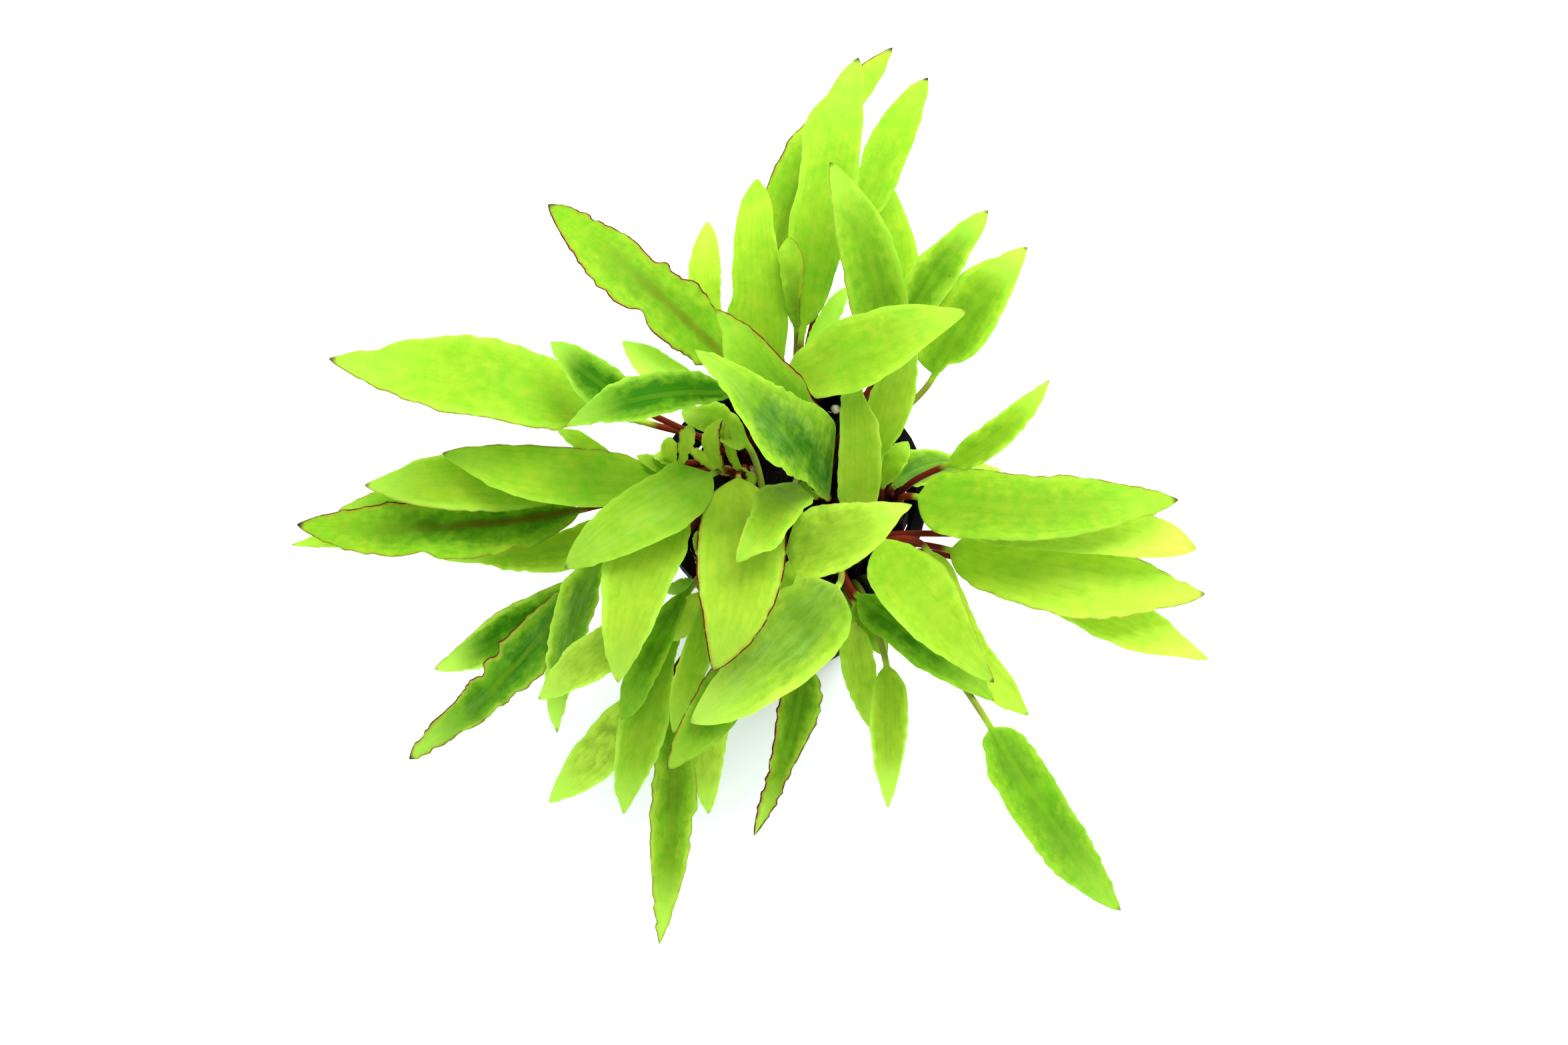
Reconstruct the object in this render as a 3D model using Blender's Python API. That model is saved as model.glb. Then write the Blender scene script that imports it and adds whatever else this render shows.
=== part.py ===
"""A cryptocoryne in its net pot.

A tapered black net pot holds a plug of growing wool. Seven short crowns stand on the wool, and long
lance-shaped leaves on thin stalks grow from them in all directions.

Metres, +Z up, origin at the centre of the pot's underside. +X is the photograph's right, +Y its back.
"""

import math
from collections import namedtuple

import bmesh
import bpy
from mathutils import Vector

MM = 0.001

# Net pot
POT_HEIGHT = 50 * MM
RIM_DIAMETER = 55 * MM
RIM_INNER_DIAMETER = 50 * MM
RIM_DROP = 2.4 * MM
FOOT_DIAMETER = 36 * MM
POT_WALL = 1.2 * MM
POT_SLOTS = 20
POT_COLUMNS = 2 * POT_SLOTS
SLOT_LEVELS = (0.10, 0.42, 0.52, 0.86)
BASE_DISC_DIAMETER = 16 * MM
BASE_SLOT_DIAMETER = 30 * MM

# Growing wool
WOOL_TOP = 45 * MM
WOOL_GAP = 0.6 * MM
WOOL_SIDES = 24
WOOL_EDGE = 1.5 * MM

# Crowns
CROWN_DIAMETER = 3.6 * MM
CROWN_HEIGHT = 5 * MM
CROWN_SHOULDER = 0.7
CROWN_TAPER = 0.5
CROWN_SIDES = 10
TOUCHING_GAP = 0.3 * MM

# Leaves
STALK_RADIUS = 0.8 * MM
STALK_HALF_HEIGHT = STALK_RADIUS * math.cos(math.radians(30))
BLADE_THICKNESS = 0.5 * MM
BLADE_CUP = 0.12
INNER_CUP = 0.3
BASE_ROUNDNESS = 2.4
BASE_FULLNESS = 0.59
TIP_ROUNDNESS = 2
TIP_FULLNESS = 0.8
STALK_PITCH = 2.2 * MM
STALK_FOOT = WOOL_TOP + 1.0 * MM
INNER_STALKS = CROWN_DIAMETER / 2 + TOUCHING_GAP + STALK_RADIUS
OUTER_STALKS = INNER_STALKS + STALK_PITCH
STALK_STEPS = (0, 0.15, 0.32, 0.55, 0.8)
BLADE_STEPS = (0, 0.05, 0.16, 0.34, 0.54, 0.74, 0.90)
LONG_RISE = 0.45
SHORT_RISE = 0.85
RIM_CLEARING_RISE = 17 * MM
STALK_REACH = 0.30
SPREAD_ROUNDS = 60
SHARP_ANGLE = math.radians(40)

# The photograph's viewpoint, from the ellipse of the pot's rim
PHOTO_MIDDLE = (1176, 784)
RIM_MIDDLE_PX = (1188, 740)
RIM_SCALE_PX_PER_MM = 7.375
VIEW_DISTANCE = 0.70
VIEW_ELEVATION = math.radians(65)

# A spot of the photograph in pixels, and how high above the pot's underside it lies in millimetres
At = namedtuple("At", "x_px y_px up_mm")

# Where a crown stands, in millimetres
Crown = namedtuple("Crown", "name x_mm y_mm")

# One leaf: three spots on its midrib, its greatest width in millimetres, and how far along the blade
# that width lies
Leaf = namedtuple("Leaf", "crown base middle tip width_mm widest")

CROWNS = (
    Crown("back", 0, 16),
    Crown("left", -8.5, 5),
    Crown("middle", 6, 2),
    Crown("right", 17, -5),
    Crown("front_right", 9.5, -15.5),
    Crown("front_left", -4.5, -13.5),
    Crown("side_left", -17.2, -1),
)

LEAVES = (
    Leaf("back", At(1203, 500, 76), At(1238, 288, 92), At(1288, 86, 94), 12.8, 0.52),
    Leaf("back", At(1170, 365, 74), At(1234, 213, 80), At(1339, 71, 78), 11.6, 0.42),
    Leaf("back", At(1252, 385, 70), At(1322, 236, 76), At(1392, 117, 74), 9.6, 0.48),
    Leaf("back", At(1170, 582, 83), At(1315, 520, 94), At(1450, 467, 92), 14.6, 0.40),
    Leaf("back", At(1146, 600, 64), At(1137, 420, 85), At(1136, 268, 90), 10.4, 0.55),
    Leaf("back", At(1075, 500, 62), At(1057, 420, 68), At(1061, 332, 70), 7.0, 0.50),
    Leaf("left", At(1085, 535, 74), At(957, 416, 88), At(822, 307, 86), 12.2, 0.44),
    Leaf("left", At(965, 633, 72), At(733, 572, 82), At(493, 538, 78), 16.4, 0.54),
    Leaf("left", At(958, 612, 82), At(888, 567, 88), At(826, 513, 90), 9.4, 0.42),
    Leaf("left", At(1095, 592, 88), At(970, 597, 96), At(850, 640, 94), 9.8, 0.42),
    Leaf("left", At(1000, 718, 64), At(825, 713, 72), At(663, 680, 68), 12.8, 0.45),
    Leaf("left", At(1065, 713, 70), At(957, 773, 79), At(847, 853, 71), 12.0, 0.40),
    Leaf("left", At(1108, 720, 66), At(1112, 862, 77), At(1070, 1007, 67), 16.4, 0.40),
    Leaf("middle", At(1335, 540, 76), At(1303, 380, 95), At(1245, 243, 103), 11.8, 0.50),
    Leaf("middle", At(1235, 690, 72), At(1158, 573, 99), At(1074, 464, 108), 12.8, 0.42),
    Leaf("middle", At(1240, 745, 66), At(1162, 636, 102), At(1042, 525, 115), 14.8, 0.36),
    Leaf("middle", At(1192, 728, 72), At(1155, 787, 84), At(1104, 844, 84), 8.2, 0.42),
    Leaf("middle", At(1308, 715, 62), At(1338, 610, 78), At(1372, 500, 86), 9.8, 0.45),
    Leaf("middle", At(1290, 785, 62), At(1290, 665, 79), At(1282, 525, 88), 8.2, 0.45),
    Leaf("middle", At(1345, 515, 70), At(1408, 405, 77), At(1482, 316, 79), 9.6, 0.45),
    Leaf("middle", At(1402, 562, 66), At(1463, 462, 74), At(1541, 371, 78), 13.4, 0.36),
    Leaf("right", At(1379, 746, 66), At(1570, 762, 74), At(1768, 750, 68), 15.2, 0.30),
    Leaf("right", At(1424, 697, 69), At(1502, 649, 78), At(1574, 570, 84), 7.2, 0.42),
    Leaf("right", At(1343, 728, 57), At(1414, 697, 59), At(1502, 706, 55), 7.8, 0.40),
    Leaf("right", At(1325, 812, 68), At(1403, 921, 72), At(1491, 1024, 62), 12.4, 0.38),
    Leaf("front_right", At(1255, 882, 62), At(1150, 987, 66), At(1036, 1084, 56), 15.8, 0.42),
    Leaf("front_right", At(1288, 895, 56), At(1395, 974, 56), At(1491, 1052, 48), 9.2, 0.40),
    Leaf("front_right", At(1392, 828, 60), At(1462, 958, 53), At(1543, 1073, 42), 9.2, 0.45),
    Leaf("front_right", At(1208, 1000, 52), At(1180, 1130, 40), At(1131, 1254, 22), 8.6, 0.24),
    Leaf("front_right", At(1280, 935, 52), At(1288, 1010, 47), At(1306, 1093, 37), 7.2, 0.42),
    Leaf("front_right", At(1330, 1000, 50), At(1336, 1095, 44), At(1332, 1212, 30), 8.2, 0.38),
    Leaf("front_right", At(1487, 1093, 47), At(1579, 1235, 34), At(1681, 1366, 9), 13.0, 0.40),
    Leaf("front_right", At(1450, 800, 61), At(1622, 800, 66), At(1795, 824, 60), 10.0, 0.55),
    Leaf("front_right", At(1427, 826, 57), At(1612, 868, 60), At(1808, 891, 52), 15.2, 0.40),
    Leaf("front_right", At(1480, 850, 53), At(1650, 920, 52), At(1813, 990, 42), 11.0, 0.50),
    Leaf("front_left", At(1183, 826, 74), At(1271, 805, 87), At(1368, 758, 91), 14.6, 0.40),
    Leaf("front_left", At(1032, 888, 58), At(978, 985, 56), At(932, 1080, 46), 8.4, 0.36),
    Leaf("front_left", At(1015, 960, 50.5), At(966, 1100, 42), At(936, 1221, 26), 10.8, 0.45),
    Leaf("front_left", At(980, 1045, 42), At(902, 1124, 30.5), At(824, 1204, 17), 10.6, 0.45),
    Leaf("front_left", At(1010, 1070, 41), At(1007, 1250, 29), At(989, 1417, 9), 9.2, 0.42),
    Leaf("front_left", At(1064, 888, 61), At(1034, 993, 58), At(1010, 1100, 47), 8.0, 0.45),
    Leaf("front_left", At(1130, 965, 60), At(1068, 1062, 57), At(1001, 1155, 46), 9.0, 0.45),
    Leaf("front_left", At(1080, 1020, 46), At(1062, 1120, 37), At(1063, 1221, 23), 8.4, 0.42),
    Leaf("side_left", At(840, 728, 62.5), At(700, 716, 65), At(547, 728, 58), 10.6, 0.42),
    Leaf("side_left", At(868, 766, 56), At(650, 792, 58), At(445, 787, 52), 12.8, 0.42),
    Leaf("side_left", At(920, 790, 50), At(790, 824, 50), At(665, 840, 42), 9.0, 0.45),
    Leaf("side_left", At(892, 868, 52), At(760, 952, 44.5), At(652, 1004, 32), 11.0, 0.42),
    Leaf("side_left", At(872, 876, 57), At(744, 1030, 44), At(614, 1139, 26), 10.6, 0.42),
    Leaf("side_left", At(902, 838, 62), At(858, 968, 55), At(836, 1099, 38), 10.4, 0.40),
    Leaf("side_left", At(1032, 738, 68), At(956, 895, 72), At(927, 1024, 60), 13.2, 0.42),
    Leaf("side_left", At(950, 920, 63), At(884, 988, 59), At(808, 1049, 47), 9.2, 0.44),
)

UP = Vector((0, 0, 1))
LOOK = Vector((0, math.cos(VIEW_ELEVATION), -math.sin(VIEW_ELEVATION)))
LOOK_RIGHT = Vector((1, 0, 0))
LOOK_UP = LOOK_RIGHT.cross(LOOK)
FOCAL_PX = RIM_SCALE_PX_PER_MM / MM * VIEW_DISTANCE


def sight_line(x_px, y_px):
    """The direction in which the photograph sees a pixel."""
    aside = (x_px - PHOTO_MIDDLE[0]) / FOCAL_PX
    above = (PHOTO_MIDDLE[1] - y_px) / FOCAL_PX
    return LOOK + LOOK_RIGHT * aside + LOOK_UP * above


VIEWPOINT = Vector((0, 0, POT_HEIGHT)) - sight_line(*RIM_MIDDLE_PX) * VIEW_DISTANCE


def spot(at):
    """The point that the photograph shows at a pixel, at its height."""
    line = sight_line(at.x_px, at.y_px)
    return VIEWPOINT + line * ((at.up_mm * MM - VIEWPOINT.z) / line.z)


def clear_scene():
    for obj in list(bpy.data.objects):
        bpy.data.objects.remove(obj)


def material(name, colour, roughness):
    made = bpy.data.materials.new(name)
    made.use_nodes = True
    surface = made.node_tree.nodes["Principled BSDF"]
    surface.inputs["Base Color"].default_value = (*colour, 1)
    surface.inputs["Roughness"].default_value = roughness
    surface.inputs["Metallic"].default_value = 0
    return made


def object_from(name, bm, finish):
    """A named object from a bmesh, shaded smooth but for its sharp corners."""
    bmesh.ops.recalc_face_normals(bm, faces=bm.faces[:])
    mesh = bpy.data.meshes.new(name)
    bm.to_mesh(mesh)
    bm.free()
    mesh.materials.append(finish)
    mesh.shade_smooth()
    mesh.set_sharp_from_angle(angle=SHARP_ANGLE)
    made = bpy.data.objects.new(name, mesh)
    bpy.context.collection.objects.link(made)
    return made


def ring(bm, radius, height, sides, centre=(0, 0)):
    """A horizontal ring of vertices."""
    turns = [2 * math.pi * i / sides for i in range(sides)]
    return [
        bm.verts.new((centre[0] + radius * math.cos(a), centre[1] + radius * math.sin(a), height))
        for a in turns
    ]


def band(bm, lower, upper, keep=lambda column: True):
    """Faces between two rings, in the columns to keep."""
    sides = len(lower)
    for column in range(sides):
        if keep(column):
            after = (column + 1) % sides
            bm.faces.new((lower[column], lower[after], upper[after], upper[column]))


def rib(column):
    return column % 2 == 0


def net_pot(finish):
    """The pot as one skin of bands and ribs with open slots, thickened towards its mouth and its lip."""
    bm = bmesh.new()
    foot = FOOT_DIAMETER / 2
    mouth = RIM_INNER_DIAMETER / 2 + POT_WALL
    skin_top = POT_HEIGHT - POT_WALL
    skin_edge = RIM_DIAMETER / 2 - POT_WALL

    def wall(share):
        return ring(bm, foot + (mouth - foot) * share, skin_top * share, POT_COLUMNS)

    disc = ring(bm, BASE_DISC_DIAMETER / 2, 0, POT_COLUMNS)
    bm.faces.new(disc)
    slot_end = ring(bm, BASE_SLOT_DIAMETER / 2, 0, POT_COLUMNS)
    corner = wall(0)
    low, waist_low, waist_high, high = (wall(share) for share in SLOT_LEVELS)
    top = wall(1)
    flange = ring(bm, skin_edge, skin_top, POT_COLUMNS)
    lip = ring(bm, skin_edge, POT_HEIGHT - RIM_DROP, POT_COLUMNS)
    band(bm, disc, slot_end, rib)
    band(bm, slot_end, corner)
    band(bm, corner, low)
    band(bm, low, waist_low, rib)
    band(bm, waist_low, waist_high)
    band(bm, waist_high, high, rib)
    band(bm, high, top)
    band(bm, top, flange)
    band(bm, flange, lip)
    made = object_from("net_pot", bm, finish)
    thickness = made.modifiers.new("wall", "SOLIDIFY")
    thickness.thickness = POT_WALL
    thickness.offset = 1
    thickness.use_even_offset = True
    return made


def wool_plug(finish):
    """The plug of wool, a tapered block that clears the pot's wall."""
    bm = bmesh.new()
    foot = FOOT_DIAMETER / 2 - POT_WALL - WOOL_GAP
    mouth = RIM_INNER_DIAMETER / 2 - WOOL_GAP
    bottom = POT_WALL + WOOL_GAP

    def radius(height):
        return foot + (mouth - foot) * height / POT_HEIGHT

    low = ring(bm, radius(bottom), bottom, WOOL_SIDES)
    high = ring(bm, radius(WOOL_TOP - WOOL_EDGE), WOOL_TOP - WOOL_EDGE, WOOL_SIDES)
    top = ring(bm, radius(WOOL_TOP) - WOOL_EDGE, WOOL_TOP, WOOL_SIDES)
    bm.faces.new(low)
    band(bm, low, high)
    band(bm, high, top)
    bm.faces.new(top)
    return object_from("growing_wool", bm, finish)


def crown_stub(crown, finish):
    """The short stem that a crown's leaves grow round."""
    bm = bmesh.new()
    centre = (crown.x_mm * MM, crown.y_mm * MM)
    radius = CROWN_DIAMETER / 2
    foot = WOOL_TOP + TOUCHING_GAP
    low = ring(bm, radius, foot, CROWN_SIDES, centre)
    high = ring(bm, radius, foot + CROWN_SHOULDER * CROWN_HEIGHT, CROWN_SIDES, centre)
    tip = ring(bm, CROWN_TAPER * radius, foot + CROWN_HEIGHT, CROWN_SIDES, centre)
    bm.faces.new(low)
    band(bm, low, high)
    band(bm, high, tip)
    bm.faces.new(tip)
    return object_from("crown_" + crown.name, bm, finish)


def curve_point(controls, share):
    """A point on the Bezier curve with these controls."""
    points = list(controls)
    while len(points) > 1:
        points = [a.lerp(b, share) for a, b in zip(points, points[1:])]
    return points[0]


def curve_direction(controls, share):
    steps = [b - a for a, b in zip(controls, controls[1:])]
    return curve_point(steps, share).normalized()


def blade_controls(leaf):
    """The midrib's curve, which passes through the leaf's middle spot."""
    base, middle, tip = spot(leaf.base), spot(leaf.middle), spot(leaf.tip)
    return base, 2 * middle - (base + tip) / 2, tip


def stalk_controls(foot, blade):
    """The stalk's curve: up from its foot, then on into the midrib."""
    base = blade[0]
    length = (base - foot).length
    rise = max(LONG_RISE * length, min(SHORT_RISE * length, RIM_CLEARING_RISE))
    return foot, foot + UP * rise, base - curve_direction(blade, 0) * STALK_REACH * length, base


def width_share(along, widest):
    """A blade's width at a share of its length: round at its base, pointed at its tip."""
    if along < widest:
        return (1 - ((widest - along) / widest) ** BASE_ROUNDNESS) ** BASE_FULLNESS
    return (1 - ((along - widest) / (1 - widest)) ** TIP_ROUNDNESS) ** TIP_FULLNESS


def cross_section(bm, centre, side, face, half_width, half_height, rise):
    """Six vertices: the two edges, and two points above and two below halfway to them."""
    flat = half_width / 2
    edge = face * rise
    inner = edge * INNER_CUP
    offsets = (
        side * half_width + edge,
        side * flat + face * half_height + inner,
        side * -flat + face * half_height + inner,
        side * -half_width + edge,
        side * -flat - face * half_height + inner,
        side * flat - face * half_height + inner,
    )
    return [bm.verts.new(centre + offset) for offset in offsets]


def leaf_body(name, leaf, foot, finish):
    """A stalk and its blade as one closed loft."""
    bm = bmesh.new()
    blade = blade_controls(leaf)
    stalk = stalk_controls(foot, blade)
    length = blade[2] - blade[0]
    flat_side = Vector((length.y, -length.x, 0)).normalized()
    sections = []
    for share in STALK_STEPS:
        direction = curve_direction(stalk, share)
        side = (flat_side - direction * flat_side.dot(direction)).normalized()
        face = side.cross(direction)
        centre = curve_point(stalk, share)
        sections.append(cross_section(bm, centre, side, face, STALK_RADIUS, STALK_HALF_HEIGHT, 0))
    for share in BLADE_STEPS:
        direction = curve_direction(blade, share)
        side = (flat_side - direction * flat_side.dot(direction)).normalized()
        face = side.cross(direction)
        half_width = max(STALK_RADIUS, leaf.width_mm * MM / 2 * width_share(share, leaf.widest))
        opened = min(1, share / BLADE_STEPS[2])
        half_height = STALK_HALF_HEIGHT * (1 - opened) + BLADE_THICKNESS / 2 * opened
        rise = BLADE_CUP * half_width * opened
        sections.append(
            cross_section(bm, curve_point(blade, share), side, face, half_width, half_height, rise)
        )
    for lower, upper in zip(sections, sections[1:]):
        band(bm, lower, upper)
    bm.faces.new(sections[0])
    point = bm.verts.new(blade[2])
    last = sections[-1]
    for i in range(len(last)):
        bm.faces.new((last[i], last[(i + 1) % len(last)], point))
    return object_from(name, bm, finish)


def spread(headings, radius):
    """Turns near these headings, pushed apart so that stalks on a ring of this radius clear each other."""
    least = 2 * math.asin(STALK_PITCH / 2 / radius)
    order = sorted(range(len(headings)), key=lambda i: headings[i])
    turns = [headings[i] for i in order]
    for _ in range(SPREAD_ROUNDS):
        for i in range(len(turns)):
            after = (i + 1) % len(turns)
            lap = 2 * math.pi if after <= i else 0
            short = least - (turns[after] + lap - turns[i])
            if after != i and short > 0:
                turns[i] -= short / 2
                turns[after] += short / 2
    return dict(zip(order, turns))


def stalk_feet(crown, leaves):
    """A foot for each leaf: the higher half of a crown's leaves grow inside the lower half."""
    centre = Vector((crown.x_mm * MM, crown.y_mm * MM, STALK_FOOT))
    by_height = sorted(leaves, key=lambda leaf: -leaf.base.up_mm)
    inner = (len(leaves) + 1) // 2
    feet = {}
    for ringed, radius in ((by_height[:inner], INNER_STALKS), (by_height[inner:], OUTER_STALKS)):
        headings = []
        for leaf in ringed:
            way = spot(leaf.base) - centre
            headings.append(math.atan2(way.y, way.x))
        for i, turn in spread(headings, radius).items():
            feet[ringed[i]] = centre + Vector((math.cos(turn), math.sin(turn), 0)) * radius
    return feet


def main():
    clear_scene()
    black_plastic = material("black_plastic", (0.012, 0.012, 0.013), 0.45)
    wool = material("growing_wool", (0.10, 0.085, 0.05), 0.95)
    stem = material("stem", (0.12, 0.05, 0.02), 0.6)
    leaf_green = material("leaf_green", (0.38, 0.66, 0.03), 0.4)
    net_pot(black_plastic)
    wool_plug(wool)
    for crown in CROWNS:
        leaves = [leaf for leaf in LEAVES if leaf.crown == crown.name]
        crown_stub(crown, stem)
        feet = stalk_feet(crown, leaves)
        for number, leaf in enumerate(leaves, 1):
            leaf_body(f"leaf_{crown.name}_{number}", leaf, feet[leaf], leaf_green)


main()
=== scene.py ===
"""The looks of a cryptocoryne in its net pot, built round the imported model."""

import math
from collections import namedtuple

import bmesh
import bpy
import numpy as np
from mathutils import Matrix, Vector, noise


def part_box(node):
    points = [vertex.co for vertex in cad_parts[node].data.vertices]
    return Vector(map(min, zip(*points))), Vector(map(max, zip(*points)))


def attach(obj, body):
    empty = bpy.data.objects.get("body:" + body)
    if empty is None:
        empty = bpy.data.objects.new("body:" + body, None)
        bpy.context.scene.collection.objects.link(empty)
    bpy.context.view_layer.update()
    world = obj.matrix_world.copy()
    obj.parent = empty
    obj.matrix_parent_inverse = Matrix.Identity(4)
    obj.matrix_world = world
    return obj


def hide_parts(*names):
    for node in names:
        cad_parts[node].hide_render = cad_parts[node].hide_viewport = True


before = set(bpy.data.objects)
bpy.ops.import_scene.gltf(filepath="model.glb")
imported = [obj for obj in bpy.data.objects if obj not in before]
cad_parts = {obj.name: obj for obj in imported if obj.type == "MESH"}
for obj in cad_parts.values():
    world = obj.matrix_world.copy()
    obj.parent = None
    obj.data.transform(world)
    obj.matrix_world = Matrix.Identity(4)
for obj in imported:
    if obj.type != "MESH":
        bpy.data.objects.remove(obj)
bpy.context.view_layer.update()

MM = 0.001
TURN = 2 * math.pi
TINY = 1e-12

# Net pot
POT_HEIGHT = 50 * MM
FOOT_DIAMETER = 36 * MM
POT_WALL = 1.2 * MM

# Growing wool. A layer of lumps is its waves in a metre and its share, dips are millimetres for a level
# surface and for each unit of lump, and rings are how many there are, the first and the last as shares
# of the plug's radius.
WOOL_TOP = 45 * MM
WOOL_GAP = 0.6 * MM
WOOL_LUMPS = ((260, 0.5), (800, 0.3), (1900, 0.2))
WOOL_SIDE_DIP = (0.55, 0.55)
WOOL_TOP_DIP = (0.5, 0.9)
WOOL_TOP_LAYER = 0.2 * MM
STRANDS_SEED = 5
PLUG_LEVELS = 40
PLUG_AROUND = 120
UNDERSIDE_RINGS = (8, 0.08, 0.94)
TOP_RINGS = (14, 0.97, 0.05)

# Loose fibres of the wool
FIBRES = 420
FIBRES_ON_TOP = 0.45
FIBRE_RADIUS = 0.07 * MM
FIBRE_SIDES = 4
FIBRE_STEPS = 7
FIBRE_STEP = 0.75 * MM
FIBRE_BEND = 0.28
FIBRE_RISE_ON_TOP = 0.1
FIBRE_RISE_ON_SIDE = 0.8
FIBRE_DEPTH = 0.35 * MM
FIBRE_COVER = 0.08 * MM
TOP_FIBRE_REACH = 0.95
TOP_FIBRE_SINK = 0.7 * MM
TOP_FIBRE_LIFT = 0.5 * MM
BARE_FOOT = 3 * MM
BARE_RIM = 2 * MM

# Roots along the side of the wool
ROOTS = 34
ROOT_RADIUS = 0.24 * MM
ROOT_SIDES = 6
ROOT_POINTS = 22
ROOT_JITTER = 0.3
ROOT_REACH = (0.35, 0.95)
ROOT_WANDER = 0.03
ROOT_DEPTH = 0.1 * MM

# How fibres and roots taper: the share of the radius at a tip, and the steps from there to the first ring
THREAD_TIP = 0.35
THREAD_ENDS = 0.6

# Grain on the wool
GRAIN_PX = (1253, 616)
GRAIN_RADIUS = 1.0 * MM
GRAIN_FLATNESS = 0.8
GRAIN_REST = 0.7
GRAIN_LUMPS = ((900, 0.22), (2600, 0.08))

# Crowns, with scars round them and a dome on top, and stalks
CROWN_DIAMETER = 3.6 * MM
CROWN_LEVELS = 26
CROWN_AROUND = 28
CROWN_NECK = 0.9
CROWN_SCAR_DEPTH = 0.07
CROWN_SCAR_TURNS = 40
CROWN_DOME = (2.2, 1.06, 0.6)
CROWN_LUMPS = ((1500, 0.12),)
TOUCHING_GAP = 0.3 * MM
STALK_RADIUS = 0.8 * MM
STALK_PITCH = 2.2 * MM
STALK_FOOT = WOOL_TOP + 1.0 * MM
STALK_WAIST = 0.84
STALK_FLARE = (-0.5, -0.9)
STALK_START = 0.02
INNER_STALKS = CROWN_DIAMETER / 2 + TOUCHING_GAP + STALK_RADIUS
OUTER_STALKS = INNER_STALKS + STALK_PITCH
LONG_RISE = 0.45
SHORT_RISE = 0.85
RIM_CLEARING_RISE = 17 * MM
STALK_REACH = 0.30
SPREAD_ROUNDS = 60

# Blades: their outline, their cup and what their margins' spots may do to them
BLADE_THICKNESS = 0.36 * MM
BLADE_CUP = 0.12
CUP_POWER = 1.74
BASE_ROUNDNESS = 2.4
BASE_FULLNESS = 0.59
TIP_ROUNDNESS = 2
TIP_FULLNESS = 0.8
LEAST_HALF = 0.04 * MM
LEAST_FIT = 0.35
MOST_FIT = 2.3
LEAST_MATCH = 0.2
NO_MATCH = 1e6
FIT_SMOOTHING = (0.25, 0.5, 0.25)

# Blades: rows along them, the tip, the midrib and its groove, and the waves, lumps and veins
LAST_ROW = 0.997
TIP_LENGTH = 0.15 * MM
EVEN_ROWS = 0.5
EVEN_COLUMNS = 0.55
SKIN_EDGE = 0.999
SKIN_POWER = 6
STALK_TO_BLADE = (0, 0.14)
RIB_FULL_WIDTH_MM = 9
RIB_TAPER = (0.62, 0.9, 0.05)
RIB_SPREAD = 0.85
RIB_BELOW = 0.95
RIB_ABOVE = 0.25
GROOVE_DEPTH = 0.13 * MM
GROOVE_HALF = 0.32 * MM
CALM_BASE = (0, 0.12)
CALM_TIP = (1.0, 0.9)
WAVE_POWER = 2.6
SWAY_WAVES = 1.6
SWAY = 0.35 * MM
LEAST_NIBBLE = 0.09 * MM
NIBBLE_OF_WAVE = 0.45
NIBBLES_PER_WAVE = 1.6
DIMPLE_DEPTH = 0.16 * MM
DIMPLES_ACROSS = 2.2
DIMPLES_PER_MM = 0.22
DIMPLES_MOST_SHIFT = 50
VEINS = 4
VEIN_DEPTH = 0.018 * MM
VEINS_FROM_BASE = (0.06, 0.25)
VEINS_TO_TIP = (1.0, 0.85)
VEINS_TO_EDGE = (1.0, 0.8)
SHARP_ANGLE = math.radians(70)
FIRST_LEAF_SEED = 11
PATTERN_MOST_SHIFT = 100

# Wandering lines: a drift of the waves, a swell of their height and a finer ripple on them
DRIFT = 1.6
DRIFT_WAVES = 1.3
SWELL = 0.45
SWELL_WAVES = 1.9
RIPPLE = 0.3
RIPPLE_WAVES = 2.3

# Where a leaf's flat unwrapping lies in the square: its skin above the cap of its foot
UNWRAP_LOW = 0.04
UNWRAP_TALL = 0.92
CAP_MIDDLE = 0.02
CAP_RADIUS = 0.015

# The photograph's viewpoint
PHOTO_SIZE = (2352, 1568)
PHOTO_MIDDLE = (1176, 784)
RIM_MIDDLE_PX = (1188, 740)
RIM_SCALE_PX_PER_MM = 7.375
VIEW_DISTANCE = 0.70
VIEW_ELEVATION = math.radians(65)
SENSOR_WIDTH = 36.0
NEAREST_SEEN = 0.01

# Light and floor
SKY_COLOUR = (0.97, 0.985, 1.0, 1)
SKY_STRENGTH = 1.55
LAMP_COLOUR = (1.0, 0.99, 0.97)
LAMP_ENERGY = 30
LAMP_SIZE = 0.9
LAMP_PLACE = (0.35, 0.45, 1.15)
LAMP_AIM = Vector((0, 0, 0.05))
FLOOR_HALF = 3.0

# A spot of the photograph in pixels, and how high above the pot's underside it lies in millimetres
At = namedtuple("At", "x_px y_px up_mm")

# Where a crown stands, in millimetres
Crown = namedtuple("Crown", "name x_mm y_mm")

# One leaf: three spots on its midrib, its greatest width in millimetres, and how far along the blade
# that width lies
Leaf = namedtuple("Leaf", "crown base middle tip width_mm widest")

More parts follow.
